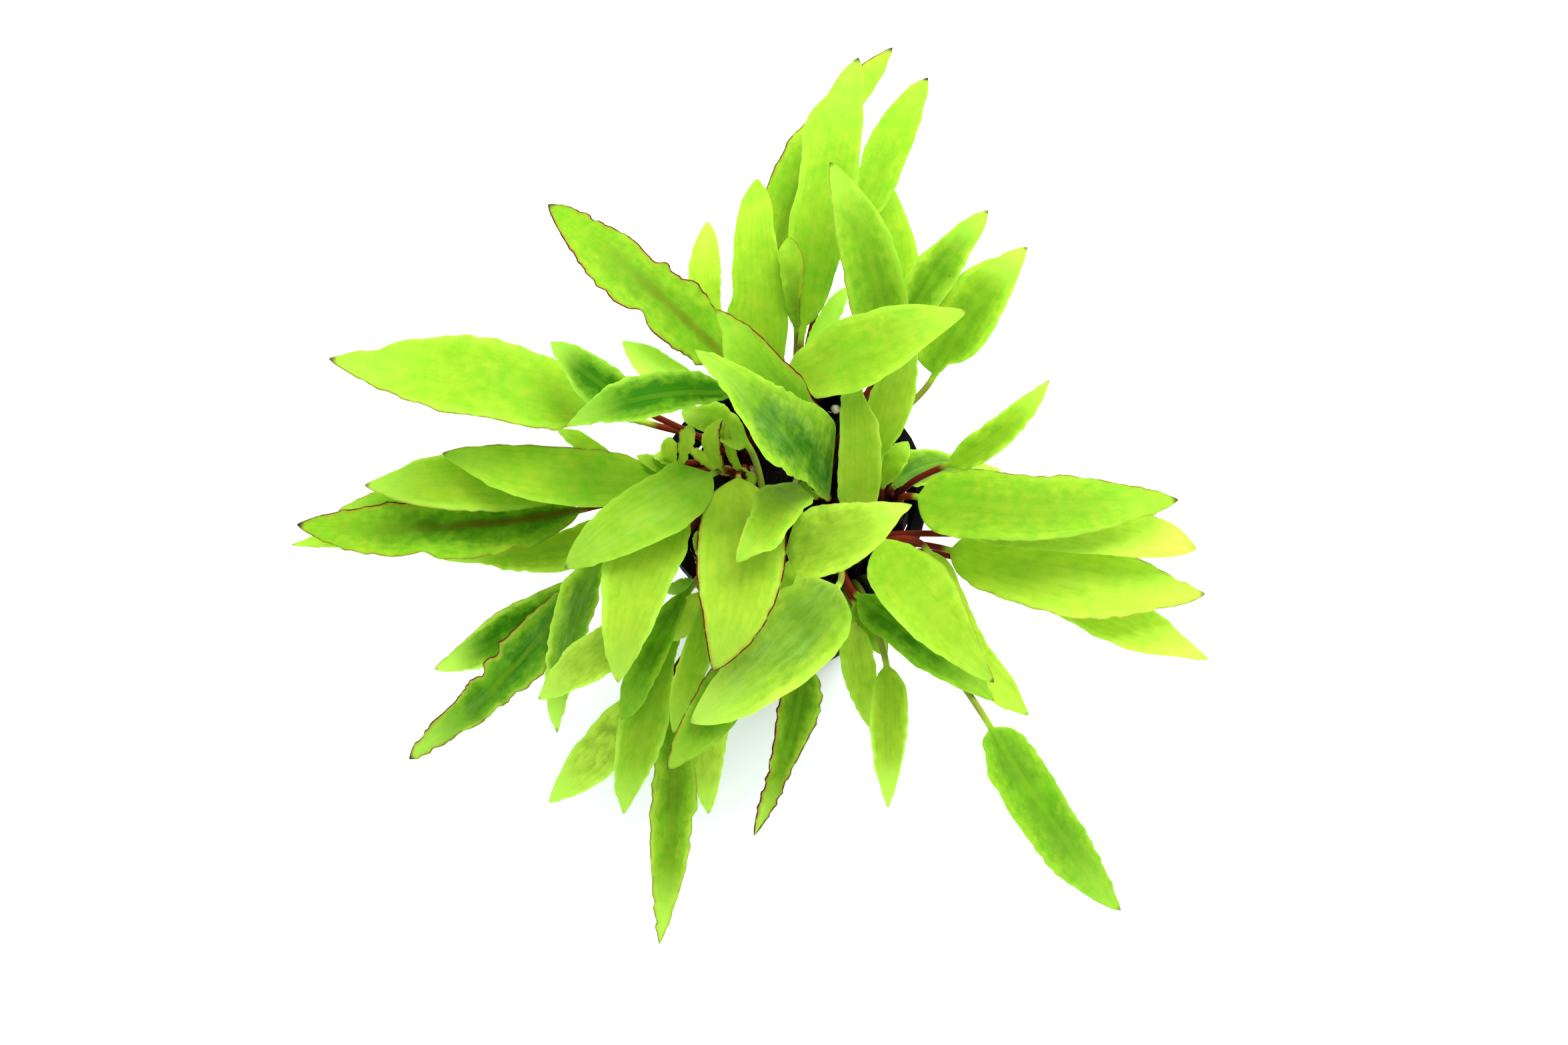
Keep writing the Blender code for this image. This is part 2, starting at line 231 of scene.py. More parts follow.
CROWNS = (
    Crown("back", 0, 16),
    Crown("left", -8.5, 5),
    Crown("middle", 6, 2),
    Crown("right", 17, -5),
    Crown("front_right", 9.5, -15.5),
    Crown("front_left", -4.5, -13.5),
    Crown("side_left", -17.2, -1),
)
LEAVES = (
    Leaf("back", At(1203, 500, 76), At(1238, 288, 92), At(1288, 86, 94), 12.8, 0.52),
    Leaf("back", At(1170, 365, 74), At(1234, 213, 80), At(1339, 71, 78), 11.6, 0.42),
    Leaf("back", At(1252, 385, 70), At(1322, 236, 76), At(1392, 117, 74), 9.6, 0.48),
    Leaf("back", At(1170, 582, 83), At(1315, 520, 94), At(1450, 467, 92), 14.6, 0.40),
    Leaf("back", At(1146, 600, 64), At(1137, 420, 85), At(1136, 268, 90), 10.4, 0.55),
    Leaf("back", At(1075, 500, 62), At(1057, 420, 68), At(1061, 332, 70), 7.0, 0.50),
    Leaf("left", At(1085, 535, 74), At(957, 416, 88), At(822, 307, 86), 12.2, 0.44),
    Leaf("left", At(965, 633, 72), At(733, 572, 82), At(493, 538, 78), 16.4, 0.54),
    Leaf("left", At(958, 612, 82), At(888, 567, 88), At(826, 513, 90), 9.4, 0.42),
    Leaf("left", At(1095, 592, 88), At(970, 597, 96), At(850, 640, 94), 9.8, 0.42),
    Leaf("left", At(1000, 718, 64), At(825, 713, 72), At(663, 680, 68), 12.8, 0.45),
    Leaf("left", At(1065, 713, 70), At(957, 773, 79), At(847, 853, 71), 12.0, 0.40),
    Leaf("left", At(1108, 720, 66), At(1112, 862, 77), At(1070, 1007, 67), 16.4, 0.40),
    Leaf("middle", At(1335, 540, 76), At(1303, 380, 95), At(1245, 243, 103), 11.8, 0.50),
    Leaf("middle", At(1235, 690, 72), At(1158, 573, 99), At(1074, 464, 108), 12.8, 0.42),
    Leaf("middle", At(1240, 745, 66), At(1162, 636, 102), At(1042, 525, 115), 14.8, 0.36),
    Leaf("middle", At(1192, 728, 72), At(1155, 787, 84), At(1104, 844, 84), 8.2, 0.42),
    Leaf("middle", At(1308, 715, 62), At(1338, 610, 78), At(1372, 500, 86), 9.8, 0.45),
    Leaf("middle", At(1290, 785, 62), At(1290, 665, 79), At(1282, 525, 88), 8.2, 0.45),
    Leaf("middle", At(1345, 515, 70), At(1408, 405, 77), At(1482, 316, 79), 9.6, 0.45),
    Leaf("middle", At(1402, 562, 66), At(1463, 462, 74), At(1541, 371, 78), 13.4, 0.36),
    Leaf("right", At(1379, 746, 66), At(1570, 762, 74), At(1768, 750, 68), 15.2, 0.30),
    Leaf("right", At(1424, 697, 69), At(1502, 649, 78), At(1574, 570, 84), 7.2, 0.42),
    Leaf("right", At(1343, 728, 57), At(1414, 697, 59), At(1502, 706, 55), 7.8, 0.40),
    Leaf("right", At(1325, 812, 68), At(1403, 921, 72), At(1491, 1024, 62), 12.4, 0.38),
    Leaf("front_right", At(1255, 882, 62), At(1150, 987, 66), At(1036, 1084, 56), 15.8, 0.42),
    Leaf("front_right", At(1288, 895, 56), At(1395, 974, 56), At(1491, 1052, 48), 9.2, 0.40),
    Leaf("front_right", At(1392, 828, 60), At(1462, 958, 53), At(1543, 1073, 42), 9.2, 0.45),
    Leaf("front_right", At(1208, 1000, 52), At(1180, 1130, 40), At(1131, 1254, 22), 8.6, 0.24),
    Leaf("front_right", At(1280, 935, 52), At(1288, 1010, 47), At(1306, 1093, 37), 7.2, 0.42),
    Leaf("front_right", At(1330, 1000, 50), At(1336, 1095, 44), At(1332, 1212, 30), 8.2, 0.38),
    Leaf("front_right", At(1487, 1093, 47), At(1579, 1235, 34), At(1681, 1366, 9), 13.0, 0.40),
    Leaf("front_right", At(1450, 800, 61), At(1622, 800, 66), At(1795, 824, 60), 10.0, 0.55),
    Leaf("front_right", At(1427, 826, 57), At(1612, 868, 60), At(1808, 891, 52), 15.2, 0.40),
    Leaf("front_right", At(1480, 850, 53), At(1650, 920, 52), At(1813, 990, 42), 11.0, 0.50),
    Leaf("front_left", At(1183, 826, 74), At(1271, 805, 87), At(1368, 758, 91), 14.6, 0.40),
    Leaf("front_left", At(1032, 888, 58), At(978, 985, 56), At(932, 1080, 46), 8.4, 0.36),
    Leaf("front_left", At(1015, 960, 50.5), At(966, 1100, 42), At(936, 1221, 26), 10.8, 0.45),
    Leaf("front_left", At(980, 1045, 42), At(902, 1124, 30.5), At(824, 1204, 17), 10.6, 0.45),
    Leaf("front_left", At(1010, 1070, 41), At(1007, 1250, 29), At(989, 1417, 9), 9.2, 0.42),
    Leaf("front_left", At(1064, 888, 61), At(1034, 993, 58), At(1010, 1100, 47), 8.0, 0.45),
    Leaf("front_left", At(1130, 965, 60), At(1068, 1062, 57), At(1001, 1155, 46), 9.0, 0.45),
    Leaf("front_left", At(1080, 1020, 46), At(1062, 1120, 37), At(1063, 1221, 23), 8.4, 0.42),
    Leaf("side_left", At(840, 728, 62.5), At(700, 716, 65), At(547, 728, 58), 10.6, 0.42),
    Leaf("side_left", At(868, 766, 56), At(650, 792, 58), At(445, 787, 52), 12.8, 0.42),
    Leaf("side_left", At(920, 790, 50), At(790, 824, 50), At(665, 840, 42), 9.0, 0.45),
    Leaf("side_left", At(892, 868, 52), At(760, 952, 44.5), At(652, 1004, 32), 11.0, 0.42),
    Leaf("side_left", At(872, 876, 57), At(744, 1030, 44), At(614, 1139, 26), 10.6, 0.42),
    Leaf("side_left", At(902, 838, 62), At(858, 968, 55), At(836, 1099, 38), 10.4, 0.40),
    Leaf("side_left", At(1032, 738, 68), At(956, 895, 72), At(927, 1024, 60), 13.2, 0.42),
    Leaf("side_left", At(950, 920, 63), At(884, 988, 59), At(808, 1049, 47), 9.2, 0.44),
)

# Small and half-hidden leaves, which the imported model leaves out
SMALL_LEAVES = (
    Leaf("back", At(1195, 490, 77), At(1191, 426, 87), At(1184, 355, 91), 5.4, 0.72),
    Leaf("back", At(1338, 500, 60), At(1332, 380, 66), At(1322, 250, 66), 12.4, 0.45),
    Leaf("left", At(1046, 584, 70), At(990, 548, 76), At(934, 512, 78), 5.6, 0.42),
    Leaf("left", At(940, 712, 60), At(890, 672, 63), At(836, 645, 62), 3.8, 0.5),
    Leaf("side_left", At(700, 778, 50), At(605, 760, 51), At(508, 766, 47), 8.0, 0.45),
    Leaf("side_left", At(660, 795, 45), At(550, 803, 45), At(437, 818, 42), 6.0, 0.3),
    Leaf("right", At(1325, 726, 61), At(1340, 694, 66), At(1362, 663, 67), 5.0, 0.6),
    Leaf("back", At(1210, 524, 72), At(1241, 476, 76), At(1268, 431, 78), 4.8, 0.5),
    Leaf("front_left", At(1120, 666, 71), At(1074, 627, 80), At(1022, 619, 81), 7.5, 0.42),
    Leaf("left", At(1022, 692, 66), At(1028, 666, 76), At(1033, 637, 80), 4.3, 0.7),
    Leaf("left", At(1082, 702, 68), At(1067, 664, 79), At(1084, 629, 85), 4.8, 0.6),
    Leaf("left", At(1106, 700, 66), At(1092, 666, 76), At(1088, 634, 82), 2.6, 0.4),
    Leaf("left", At(1012, 696, 64), At(1003, 674, 70), At(1007, 656, 73), 3.4, 0.65),
    Leaf("left", At(1014, 700, 62), At(996, 688, 67), At(980, 686, 68), 3.0, 0.5),
    Leaf("left", At(1086, 708, 62), At(1054, 688, 68), At(1030, 670, 71), 2.8, 0.45),
    Leaf("left", At(1112, 734, 60), At(1128, 717, 66), At(1112, 702, 69), 2.2, 0.5),
    Leaf("middle", At(1222, 744, 58), At(1207, 731, 62), At(1190, 720, 64), 2.0, 0.5),
    Leaf("front_left", At(1206, 838, 62), At(1190, 866, 64), At(1166, 892, 62), 6.0, 0.5),
    Leaf("front_right", At(1283, 905, 54), At(1305, 940, 50), At(1330, 985, 44), 6.5, 0.4),
    Leaf("front_left", At(1044, 876, 50), At(1022, 880, 50), At(1000, 888, 46), 3.4, 0.5),
    Leaf("front_left", At(1052, 890, 59), At(1030, 926, 57), At(1006, 962, 53), 5.5, 0.5),
    Leaf("left", At(1051, 836, 66), At(1045, 812, 68), At(1049, 795, 69), 1.6, 0.5),
    Leaf("left", At(1010, 715, 62), At(985, 697, 67), At(955, 684, 67), 3.4, 0.5),
)

# How one leaf looks. wave: height in millimetres of the margin's waves, and waves: how many there are.
# dark: its dark centre, on some leaves partly painted shade from leaves over it, bloom: whitish
# streaks of painted sheen over it. red: a red-brown margin, or a pair for the left and right margins,
# vein: a red-brown midrib, pale: a pale margin and tip, and above 1 a pale leaf, burnt: a brown tip,
# tone: from deep green at -1 to yellow at 1, stalk: from olive at 0 to dark red at 1, specks: dark specks.
Look = namedtuple(
    "Look",
    "wave waves dark bloom red vein pale burnt tone stalk specks",
    defaults=(0.18, 5, 0.35, 0, 0, 0, 0.4, 0.4, 0, 0.97, 0),
)

LOOKS = {
    "back_1": Look(dark=0.1, pale=0.3, burnt=0.8, stalk=0.6, specks=0.5),
    "back_2": Look(dark=0.3, red=(0.6, 0.1), vein=0.3, pale=0.2, burnt=0.9, tone=0.12),
    "back_3": Look(dark=0.15, pale=0.2, burnt=1, specks=0.3),
    "back_4": Look(dark=0.25, pale=0.2, burnt=0.6, tone=0.1),
    "back_5": Look(dark=0.1, pale=0.1, burnt=0, tone=0.3),
    "back_6": Look(dark=0, pale=0.45, burnt=0, tone=0.65),
    "left_1": Look(wave=0.5, waves=9, dark=0.45, red=0.9, vein=0.5, pale=0, burnt=1, tone=-0.15),
    "left_2": Look(wave=0.5, waves=7, dark=0.1, red=(0.4, 0), burnt=0.8),
    "left_3": Look(dark=1.3, burnt=0.2, tone=-0.4),
    "left_4": Look(wave=0.35, waves=6, dark=1.35, burnt=0.2, tone=-0.45),
    "left_5": Look(dark=0.12, red=(0, 0.35), pale=0.2, burnt=0.6, tone=-0.12),
    "left_6": Look(dark=0, bloom=0.4, pale=0.3, burnt=0.6, tone=-0.05, stalk=0.4),
    "left_7": Look(dark=0, red=0.9, vein=0.12, pale=0.3, burnt=0.5, tone=0.5),
    "middle_1": Look(dark=0.55, red=(0.2, 0), pale=0.3, burnt=0.7, tone=-0.1),
    "middle_2": Look(red=(0.1, 0.9), pale=0.1, tone=-0.3),
    "middle_3": Look(wave=0.4, waves=8, dark=1.03, bloom=0.35, pale=0.2, burnt=0.2, tone=-0.05),
    "middle_4": Look(vein=0.1, burnt=0.2, tone=0.3),
    "middle_5": Look(dark=0.1, pale=0.7, burnt=0.3, tone=0.6),
    "middle_6": Look(dark=0.1, burnt=0.3, tone=0.4),
    "middle_7": Look(dark=0.75, burnt=0.8, tone=-0.1, specks=0.8),
    "middle_8": Look(dark=0.6, pale=0.55, burnt=0.8, tone=0.05, stalk=0.3),
    "right_1": Look(wave=0.3, waves=9, dark=0.3, red=(0.35, 0.15), pale=0.2, burnt=0.8, tone=-0.1),
    "right_2": Look(pale=0.6, burnt=0.5, tone=0.25),
    "right_3": Look(dark=1.1, bloom=0.5, pale=1.15, burnt=0, tone=0.1),
    "right_4": Look(dark=0.15, red=(0.2, 0), pale=0.3, burnt=0.8, tone=0.25),
    "front_right_1": Look(dark=0.65, bloom=0.6, pale=0.8, burnt=0.2, tone=0.5, stalk=0.1),
    "front_right_2": Look(dark=1, pale=0.2, burnt=0.2, tone=-0.3),
    "front_right_3": Look(dark=0.1, pale=0.3, burnt=0.3, tone=0.6),
    "front_right_4": Look(wave=0.5, waves=7, dark=0.75, red=(0.6, 1.2), pale=0.8, burnt=0.2),
    "front_right_5": Look(dark=0.3, pale=0.5, tone=0.7, stalk=0.1, specks=0.3),
    "front_right_6": Look(dark=0.3, pale=1, burnt=0.2, tone=0.45, stalk=0, specks=1),
    "front_right_7": Look(wave=0.35, waves=8, dark=0.6, bloom=0.1, pale=0.25, tone=-0.28, stalk=0.1),
    "front_right_8": Look(dark=0, red=(0.2, 0), pale=0.45, burnt=0.3, tone=1.05),
    "front_right_9": Look(wave=0.4, waves=7, dark=0, red=0.3, burnt=0.6, tone=0.6),
    "front_right_10": Look(dark=0.1, pale=0.6, burnt=0.1, tone=0.7),
    "front_left_1": Look(dark=0.45, red=0.1, pale=0.5, burnt=0.3, tone=0.55),
    "front_left_2": Look(dark=0.8, pale=0.1, burnt=0.2, tone=-0.35, stalk=0),
    "front_left_3": Look(dark=0.3, pale=0.7, burnt=0.2, stalk=0.1),
    "front_left_4": Look(dark=0.95, pale=1.1, burnt=0.1, tone=0.9),
    "front_left_5": Look(wave=0.5, waves=6, dark=0.65, red=(0.2, 0.35), vein=0.2, pale=0.8, burnt=0.2),
    "front_left_6": Look(dark=0.25, burnt=0.3, tone=0.2),
    "front_left_7": Look(dark=0.75, red=(0.1, 0.55), pale=0.2, burnt=0.8, tone=-0.15),
    "front_left_8": Look(dark=0.45, pale=0.9, burnt=0.3, tone=0.8),
    "side_left_1": Look(dark=0.1, red=(0.2, 0), pale=0.6, burnt=0.7, tone=0.2),
    "side_left_2": Look(
        wave=0.4, waves=7, dark=0.85, red=(0.35, 0.9), vein=0.8, pale=0, burnt=1, tone=-0.15,
    ),
    "side_left_3": Look(wave=0.4, waves=6, pale=0.9, burnt=0.1, tone=0.45),
    "side_left_4": Look(dark=1.25, red=(0, 0.25), pale=1, burnt=0.3, tone=-0.35),
    "side_left_5": Look(
        wave=0.8, waves=8, dark=1.1, bloom=0.2, red=(0.4, 0.9), vein=0.12, pale=0.6, burnt=1, tone=-0.45,
    ),
    "side_left_6": Look(
        wave=0.5, waves=6, dark=0.85, bloom=0.45, vein=0.05, pale=0.9, burnt=0.5, tone=-0.05,
    ),
    "side_left_7": Look(dark=0.05, pale=0.6, burnt=0.3, tone=0.5),
    "side_left_8": Look(dark=0.6, pale=0.8, burnt=0.3, tone=0.65),
    "small_1": Look(dark=0.4, red=(0, 0.3), pale=0, burnt=0, tone=-0.1, stalk=0),
    "small_2": Look(dark=0.2, tone=0.2),
    "small_3": Look(dark=0.2, pale=1.5, burnt=0, tone=0.8),
    "small_4": Look(dark=0, burnt=0, tone=0.2),
    "small_5": Look(dark=0.2, red=0.3),
    "small_6": Look(dark=0.1, tone=0.2),
    "small_7": Look(dark=0.1, burnt=0, tone=0.3),
    "small_8": Look(dark=0, pale=2, burnt=0, tone=1),
    "small_9": Look(wave=0.35, waves=4, dark=0.3, burnt=0, tone=-0.1, stalk=0),
    "small_10": Look(dark=0, red=(0.8, 0), pale=0.1, burnt=0, tone=0.55),
    "small_11": Look(dark=0, red=(0, 1), pale=0.1, burnt=0, tone=0.6),
    "small_12": Look(dark=0, red=0.2, burnt=0, tone=0.4),
    "small_13": Look(dark=0, burnt=0, tone=0.7),
    "small_14": Look(dark=0, pale=1, burnt=0, tone=1),
    "small_15": Look(dark=0, red=0.2, burnt=0, tone=0.5),
    "small_16": Look(dark=0, red=0.3, burnt=0, tone=0.3, stalk=1),
    "small_17": Look(dark=0.4, burnt=0, tone=-0.2),
    "small_18": Look(dark=0, burnt=0, tone=0.4),
    "small_19": Look(dark=0.5, burnt=0, tone=-0.1),
    "small_20": Look(dark=0, bloom=0.5, burnt=0, tone=-0.1),
    "small_21": Look(dark=0.2, pale=0.7, burnt=0, tone=0.8, stalk=0.2),
    "small_22": Look(dark=0, burnt=0, tone=0.3),
    "small_23": Look(dark=0.2, burnt=0, tone=0.1),
}

# Spots on the margins of the leaves, in pixels of the photograph
MARGINS_PX = {
    "back_1": (
        (1262, 107), (1250, 127), (1240, 142), (1226, 156), (1213, 171), (1205, 191), (1203, 225),
        (1198, 280), (1185, 320), (1182, 360), (1180, 440), (1183, 480), (1297, 130), (1296, 155),
        (1291, 225), (1287, 275), (1260, 390), (1249, 424), (1236, 460), (1221, 480), (1210, 490),
    ),
    "back_2": (
        (1206, 186), (1190, 200), (1180, 215), (1170, 235), (1160, 255), (1149, 280), (1334, 90),
        (1323, 115), (1312, 133), (1300, 150),
    ),
    "back_3": (
        (1379, 120), (1352, 142), (1325, 172), (1310, 195), (1298, 217), (1290, 250), (1388, 155),
        (1375, 202), (1356, 248), (1345, 278),
    ),
    "back_4": (
        (1218, 509), (1252, 482), (1291, 471), (1345, 458), (1391, 458), (1421, 461), (1421, 494),
        (1391, 517), (1345, 555), (1291, 586), (1252, 594), (1225, 599), (1206, 578),
    ),
    "back_5": (
        (1118, 290), (1106, 325), (1100, 371), (1098, 417), (1098, 445), (1090, 470), (1152, 290),
        (1160, 340), (1168, 378), (1173, 417), (1180, 453), (1183, 487), (1178, 525),
    ),
    "back_6": ((1046, 355), (1035, 386), (1032, 417), (1072, 348), (1079, 378), (1082, 417), (1081, 448)),
    "left_1": (
        (848, 308), (880, 321), (900, 331), (918, 342), (938, 350), (955, 362), (968, 377), (985, 395),
        (994, 392), (1002, 393), (1008, 405), (1014, 413), (1022, 418), (1032, 417), (1046, 425),
        (1056, 437), (1065, 450), (833, 338), (848, 365), (862, 385), (880, 412), (898, 432), (915, 445),
        (925, 456), (940, 463), (958, 464), (967, 470), (970, 486), (976, 498), (987, 505), (1002, 518),
        (1020, 530), (1033, 534), (1040, 547),
    ),
    "left_2": (
        (565, 524), (600, 512), (660, 503), (700, 503), (738, 506), (760, 512), (795, 525), (835, 540),
        (520, 558), (560, 580), (600, 596), (640, 611), (680, 622), (750, 630), (780, 639), (835, 646),
        (890, 632), (930, 628),
    ),
    "left_3": (
        (854, 515), (892, 532), (931, 557), (832, 535), (840, 545), (850, 565), (865, 590), (880, 604),
    ),
    "left_4": (
        (877, 609), (900, 586), (938, 567), (1000, 557), (1046, 557), (1077, 571), (892, 636), (961, 632),
        (1015, 617), (1061, 605),
    ),
    "left_5": (
        (708, 669), (754, 667), (861, 671), (938, 682), (981, 701), (692, 702), (738, 731), (800, 752),
        (861, 760), (908, 761),
    ),
    "left_6": (
        (861, 815), (892, 773), (938, 735), (985, 711), (1020, 693), (1050, 703), (900, 846), (954, 827),
        (1015, 800), (1054, 769), (1071, 738),
    ),
    "left_7": (
        (1054, 765), (1045, 815), (1045, 869), (1054, 931), (1063, 985), (1179, 838), (1172, 876),
        (1154, 922), (1123, 970), (1098, 992),
    ),
    "middle_1": (
        (1246, 294), (1252, 348), (1262, 394), (1272, 448), (1277, 471), (1275, 267), (1306, 302),
        (1329, 336), (1345, 378), (1356, 425), (1364, 459),
    ),
    "middle_2": (
        (1120, 486), (1175, 541), (1200, 560), (1221, 601), (1240, 622), (1075, 480), (1083, 502),
        (1083, 532),
    ),
    "middle_3": (
        (1055, 548), (1074, 569), (1100, 610), (1115, 635), (1134, 665), (1145, 680), (1155, 694),
        (1175, 704), (1182, 714), (1197, 718), (1215, 728), (1224, 741), (1085, 537), (1150, 570),
        (1200, 598), (1243, 623), (1257, 651), (1262, 690), (1262, 712),
    ),
    "middle_4": (
        (1111, 806), (1127, 769), (1135, 737), (1152, 726), (1217, 741), (1205, 765), (1180, 798),
        (1164, 822), (1131, 834),
    ),
    "middle_5": ((1377, 541), (1372, 601), (1349, 656), (1326, 683)),
    "middle_6": (
        (1262, 594), (1260, 655), (1257, 709), (1256, 740), (1295, 590), (1318, 632), (1322, 678),
        (1322, 717),
    ),
    "middle_7": (
        (1385, 377), (1400, 366), (1420, 351), (1440, 334), (1460, 322), (1478, 340), (1460, 372),
        (1445, 404), (1430, 430), (1410, 455),
    ),
    "middle_8": (
        (1520, 374), (1500, 384), (1480, 390), (1460, 399), (1440, 412), (1414, 440), (1396, 459),
        (1380, 500), (1376, 530), (1380, 550), (1395, 556), (1535, 396), (1520, 434), (1500, 478),
        (1480, 513), (1460, 535), (1440, 545), (1420, 548),
    ),
    "right_1": (
        (1389, 723), (1426, 709), (1496, 707), (1560, 715), (1600, 712), (1640, 719), (1700, 730),
        (1740, 738), (1393, 793), (1449, 807), (1542, 811), (1612, 804), (1705, 779), (1740, 768),
    ),
    "right_2": (
        (1450, 655), (1470, 641), (1500, 620), (1530, 597), (1500, 679), (1530, 649), (1558, 613),
    ),
    "right_4": (
        (1301, 863), (1331, 916), (1375, 960), (1432, 997), (1375, 822), (1416, 848), (1440, 890),
        (1456, 930), (1470, 965), (1485, 1005),
    ),
    "front_right_1": (
        (1083, 1000), (1115, 950), (1146, 905), (1190, 876), (1241, 869), (1278, 925), (1253, 982),
        (1205, 1025), (1160, 1052), (1130, 1071), (1100, 1082),
    ),
    "front_right_2": ((1294, 936), (1327, 960), (1375, 1001), (1400, 1014), (1440, 1034), (1470, 1046)),
    "front_right_3": (
        (1420, 839), (1440, 879), (1460, 924), (1480, 969), (1500, 992), (1520, 1019), (1500, 1060),
        (1520, 1068),
    ),
    "front_right_4": (
        (1166, 1060), (1160, 1110), (1151, 1160), (1144, 1185), (1133, 1225), (1233, 1035), (1225, 1085),
        (1212, 1110), (1199, 1135), (1186, 1160), (1175, 1185), (1163, 1210),
    ),
    "front_right_5": ((1260, 968), (1263, 1009), (1282, 1058), (1310, 980), (1315, 1005)),
    "front_right_6": (
        (1341, 1004), (1359, 1030), (1362, 1060), (1362, 1090), (1358, 1120), (1352, 1150), (1344, 1180),
        (1320, 1007), (1310, 1028), (1308, 1050), (1304, 1090), (1308, 1120), (1311, 1150), (1320, 1180),
    ),
    "front_right_7": (
        (1517, 1092), (1540, 1108), (1556, 1130), (1576, 1160), (1594, 1190), (1612, 1220), (1631, 1250),
        (1646, 1280), (1661, 1310), (1673, 1338), (1475, 1108), (1479, 1130), (1480, 1160), (1498, 1190),
        (1515, 1220), (1535, 1250), (1556, 1280), (1581, 1310), (1624, 1340),
    ),
    "front_right_8": (
        (1715, 771), (1740, 776), (1760, 787), (1780, 803), (1680, 834), (1720, 837), (1760, 836),
    ),
    "front_right_9": (
        (1432, 814), (1481, 804), (1538, 806), (1611, 806), (1668, 822), (1720, 844), (1760, 864),
        (1786, 879), (1426, 842), (1454, 876), (1496, 895), (1566, 917), (1612, 929), (1682, 927),
        (1740, 914), (1785, 904),
    ),
    "front_right_10": (
        (1740, 921), (1760, 938), (1780, 957), (1611, 936), (1640, 954), (1680, 971), (1720, 982),
        (1760, 985),
    ),
    "front_left_1": (
        (1184, 794), (1205, 769), (1245, 757), (1294, 753), (1335, 753), (1351, 777), (1323, 814),
        (1286, 846), (1245, 863), (1213, 869), (1188, 855),
    ),
    "front_left_2": ((1015, 931), (1004, 977), (977, 1031), (950, 1072), (951, 985), (931, 1031)),
    "front_left_3": (
        (931, 1069), (923, 1131), (923, 1185), (1012, 985), (1008, 1031), (1004, 1085), (985, 1140),
        (965, 1175), (950, 1200),
    ),
    "front_left_4": (
        (838, 1162), (850, 1138), (870, 1110), (890, 1086), (910, 1064), (850, 1198), (870, 1191),
        (890, 1180), (910, 1168),
    ),
    "front_left_5": (
        (981, 1154), (975, 1223), (975, 1285), (981, 1362), (1044, 1160), (1046, 1180), (1047, 1208),
        (1038, 1232), (1036, 1262), (1030, 1300), (1008, 1372),
    ),
    "front_left_6": ((1046, 932), (1018, 993), (1004, 1045), (1006, 1085)),
    "front_left_7": ((1062, 1009), (1034, 1057), (1014, 1101), (1034, 1141), (1066, 1121), (1100, 1089)),
    "front_left_8": (
        (1091, 1110), (1087, 1130), (1084, 1150), (1080, 1170), (1076, 1190), (1032, 1150), (1044, 1185),
    ),
    "side_left_1": ((585, 709), (623, 690), (660, 683), (565, 740), (600, 752)),
    "side_left_2": (
        (480, 773), (540, 762), (590, 752), (628, 757), (480, 810), (530, 828), (600, 835), (640, 828),
        (660, 840), (745, 833), (775, 819), (790, 824), (815, 812), (838, 798),
    ),
    "side_left_3": (
        (840, 797), (855, 792), (870, 785), (890, 778), (720, 845), (760, 855), (800, 859), (840, 859),
    ),
    "side_left_4": ((680, 975), (720, 939), (760, 910), (800, 892), (840, 874), (690, 1007), (720, 1003)),
    "side_left_5": (
        (617, 1126), (634, 1102), (655, 1078), (675, 1058), (692, 1041), (699, 1026), (716, 1017),
        (727, 1003), (730, 990), (749, 976), (752, 962), (761, 954), (774, 942), (624, 1139), (648, 1126),
        (675, 1112), (692, 1100), (723, 1085), (750, 1061), (781, 1037), (798, 1027), (812, 1014),
    ),
    "side_left_6": (
        (840, 880), (838, 890), (835, 905), (823, 954), (818, 1008), (819, 1054), (899, 880), (899, 900),
        (893, 915), (886, 935), (880, 950), (850, 1054),
    ),
    "side_left_7": (
        (901, 853), (903, 904), (907, 973), (1037, 780), (1030, 829), (1006, 877), (979, 942),
        (944, 1004),
    ),
    "side_left_8": ((823, 1012), (854, 969), (892, 946), (862, 1035), (908, 1015)),
    "small_2": ((1345, 290), (1363, 335), (1378, 382)),
    "small_9": (
        (1026, 630), (1036, 638), (1050, 644), (1098, 672), (1026, 613), (1048, 610), (1070, 602),
    ),
    "small_10": (
        (1017, 672), (1018, 652), (1024, 642), (1040, 641), (1044, 652), (1042, 668), (1034, 681),
    ),
    "small_11": (
        (1053, 655), (1062, 639), (1073, 632), (1053, 672), (1063, 687), (1080, 646), (1081, 668),
        (1085, 690),
    ),
    "small_1": (
        (1167, 378), (1169, 395), (1172, 420), (1177, 450), (1182, 472), (1202, 376), (1207, 400),
        (1207, 420), (1201, 450), (1193, 467),
    ),
    "small_3": ((965, 515), (990, 525), (1010, 540), (1030, 552), (943, 540), (952, 555), (960, 562)),
    "small_4": ((858, 644), (875, 647), (887, 658), (845, 658), (857, 669)),
    "small_8": ((1222, 484), (1234, 462), (1250, 442), (1272, 447), (1267, 459), (1258, 483)),
    "right_3": (
        (1350, 692), (1362, 675), (1384, 674), (1407, 676), (1425, 680), (1460, 690), (1490, 700),
        (1360, 728), (1375, 731),
    ),
}

UP = Vector((0, 0, 1))
LOOK = Vector((0, math.cos(VIEW_ELEVATION), -math.sin(VIEW_ELEVATION)))
LOOK_RIGHT = Vector((1, 0, 0))
LOOK_UP = LOOK_RIGHT.cross(LOOK)
FOCAL_PX = RIM_SCALE_PX_PER_MM / MM * VIEW_DISTANCE


def sight_line(x_px, y_px):
    """The direction in which the photograph sees a pixel."""
    aside = (x_px - PHOTO_MIDDLE[0]) / FOCAL_PX
    above = (PHOTO_MIDDLE[1] - y_px) / FOCAL_PX
    return LOOK + LOOK_RIGHT * aside + LOOK_UP * above


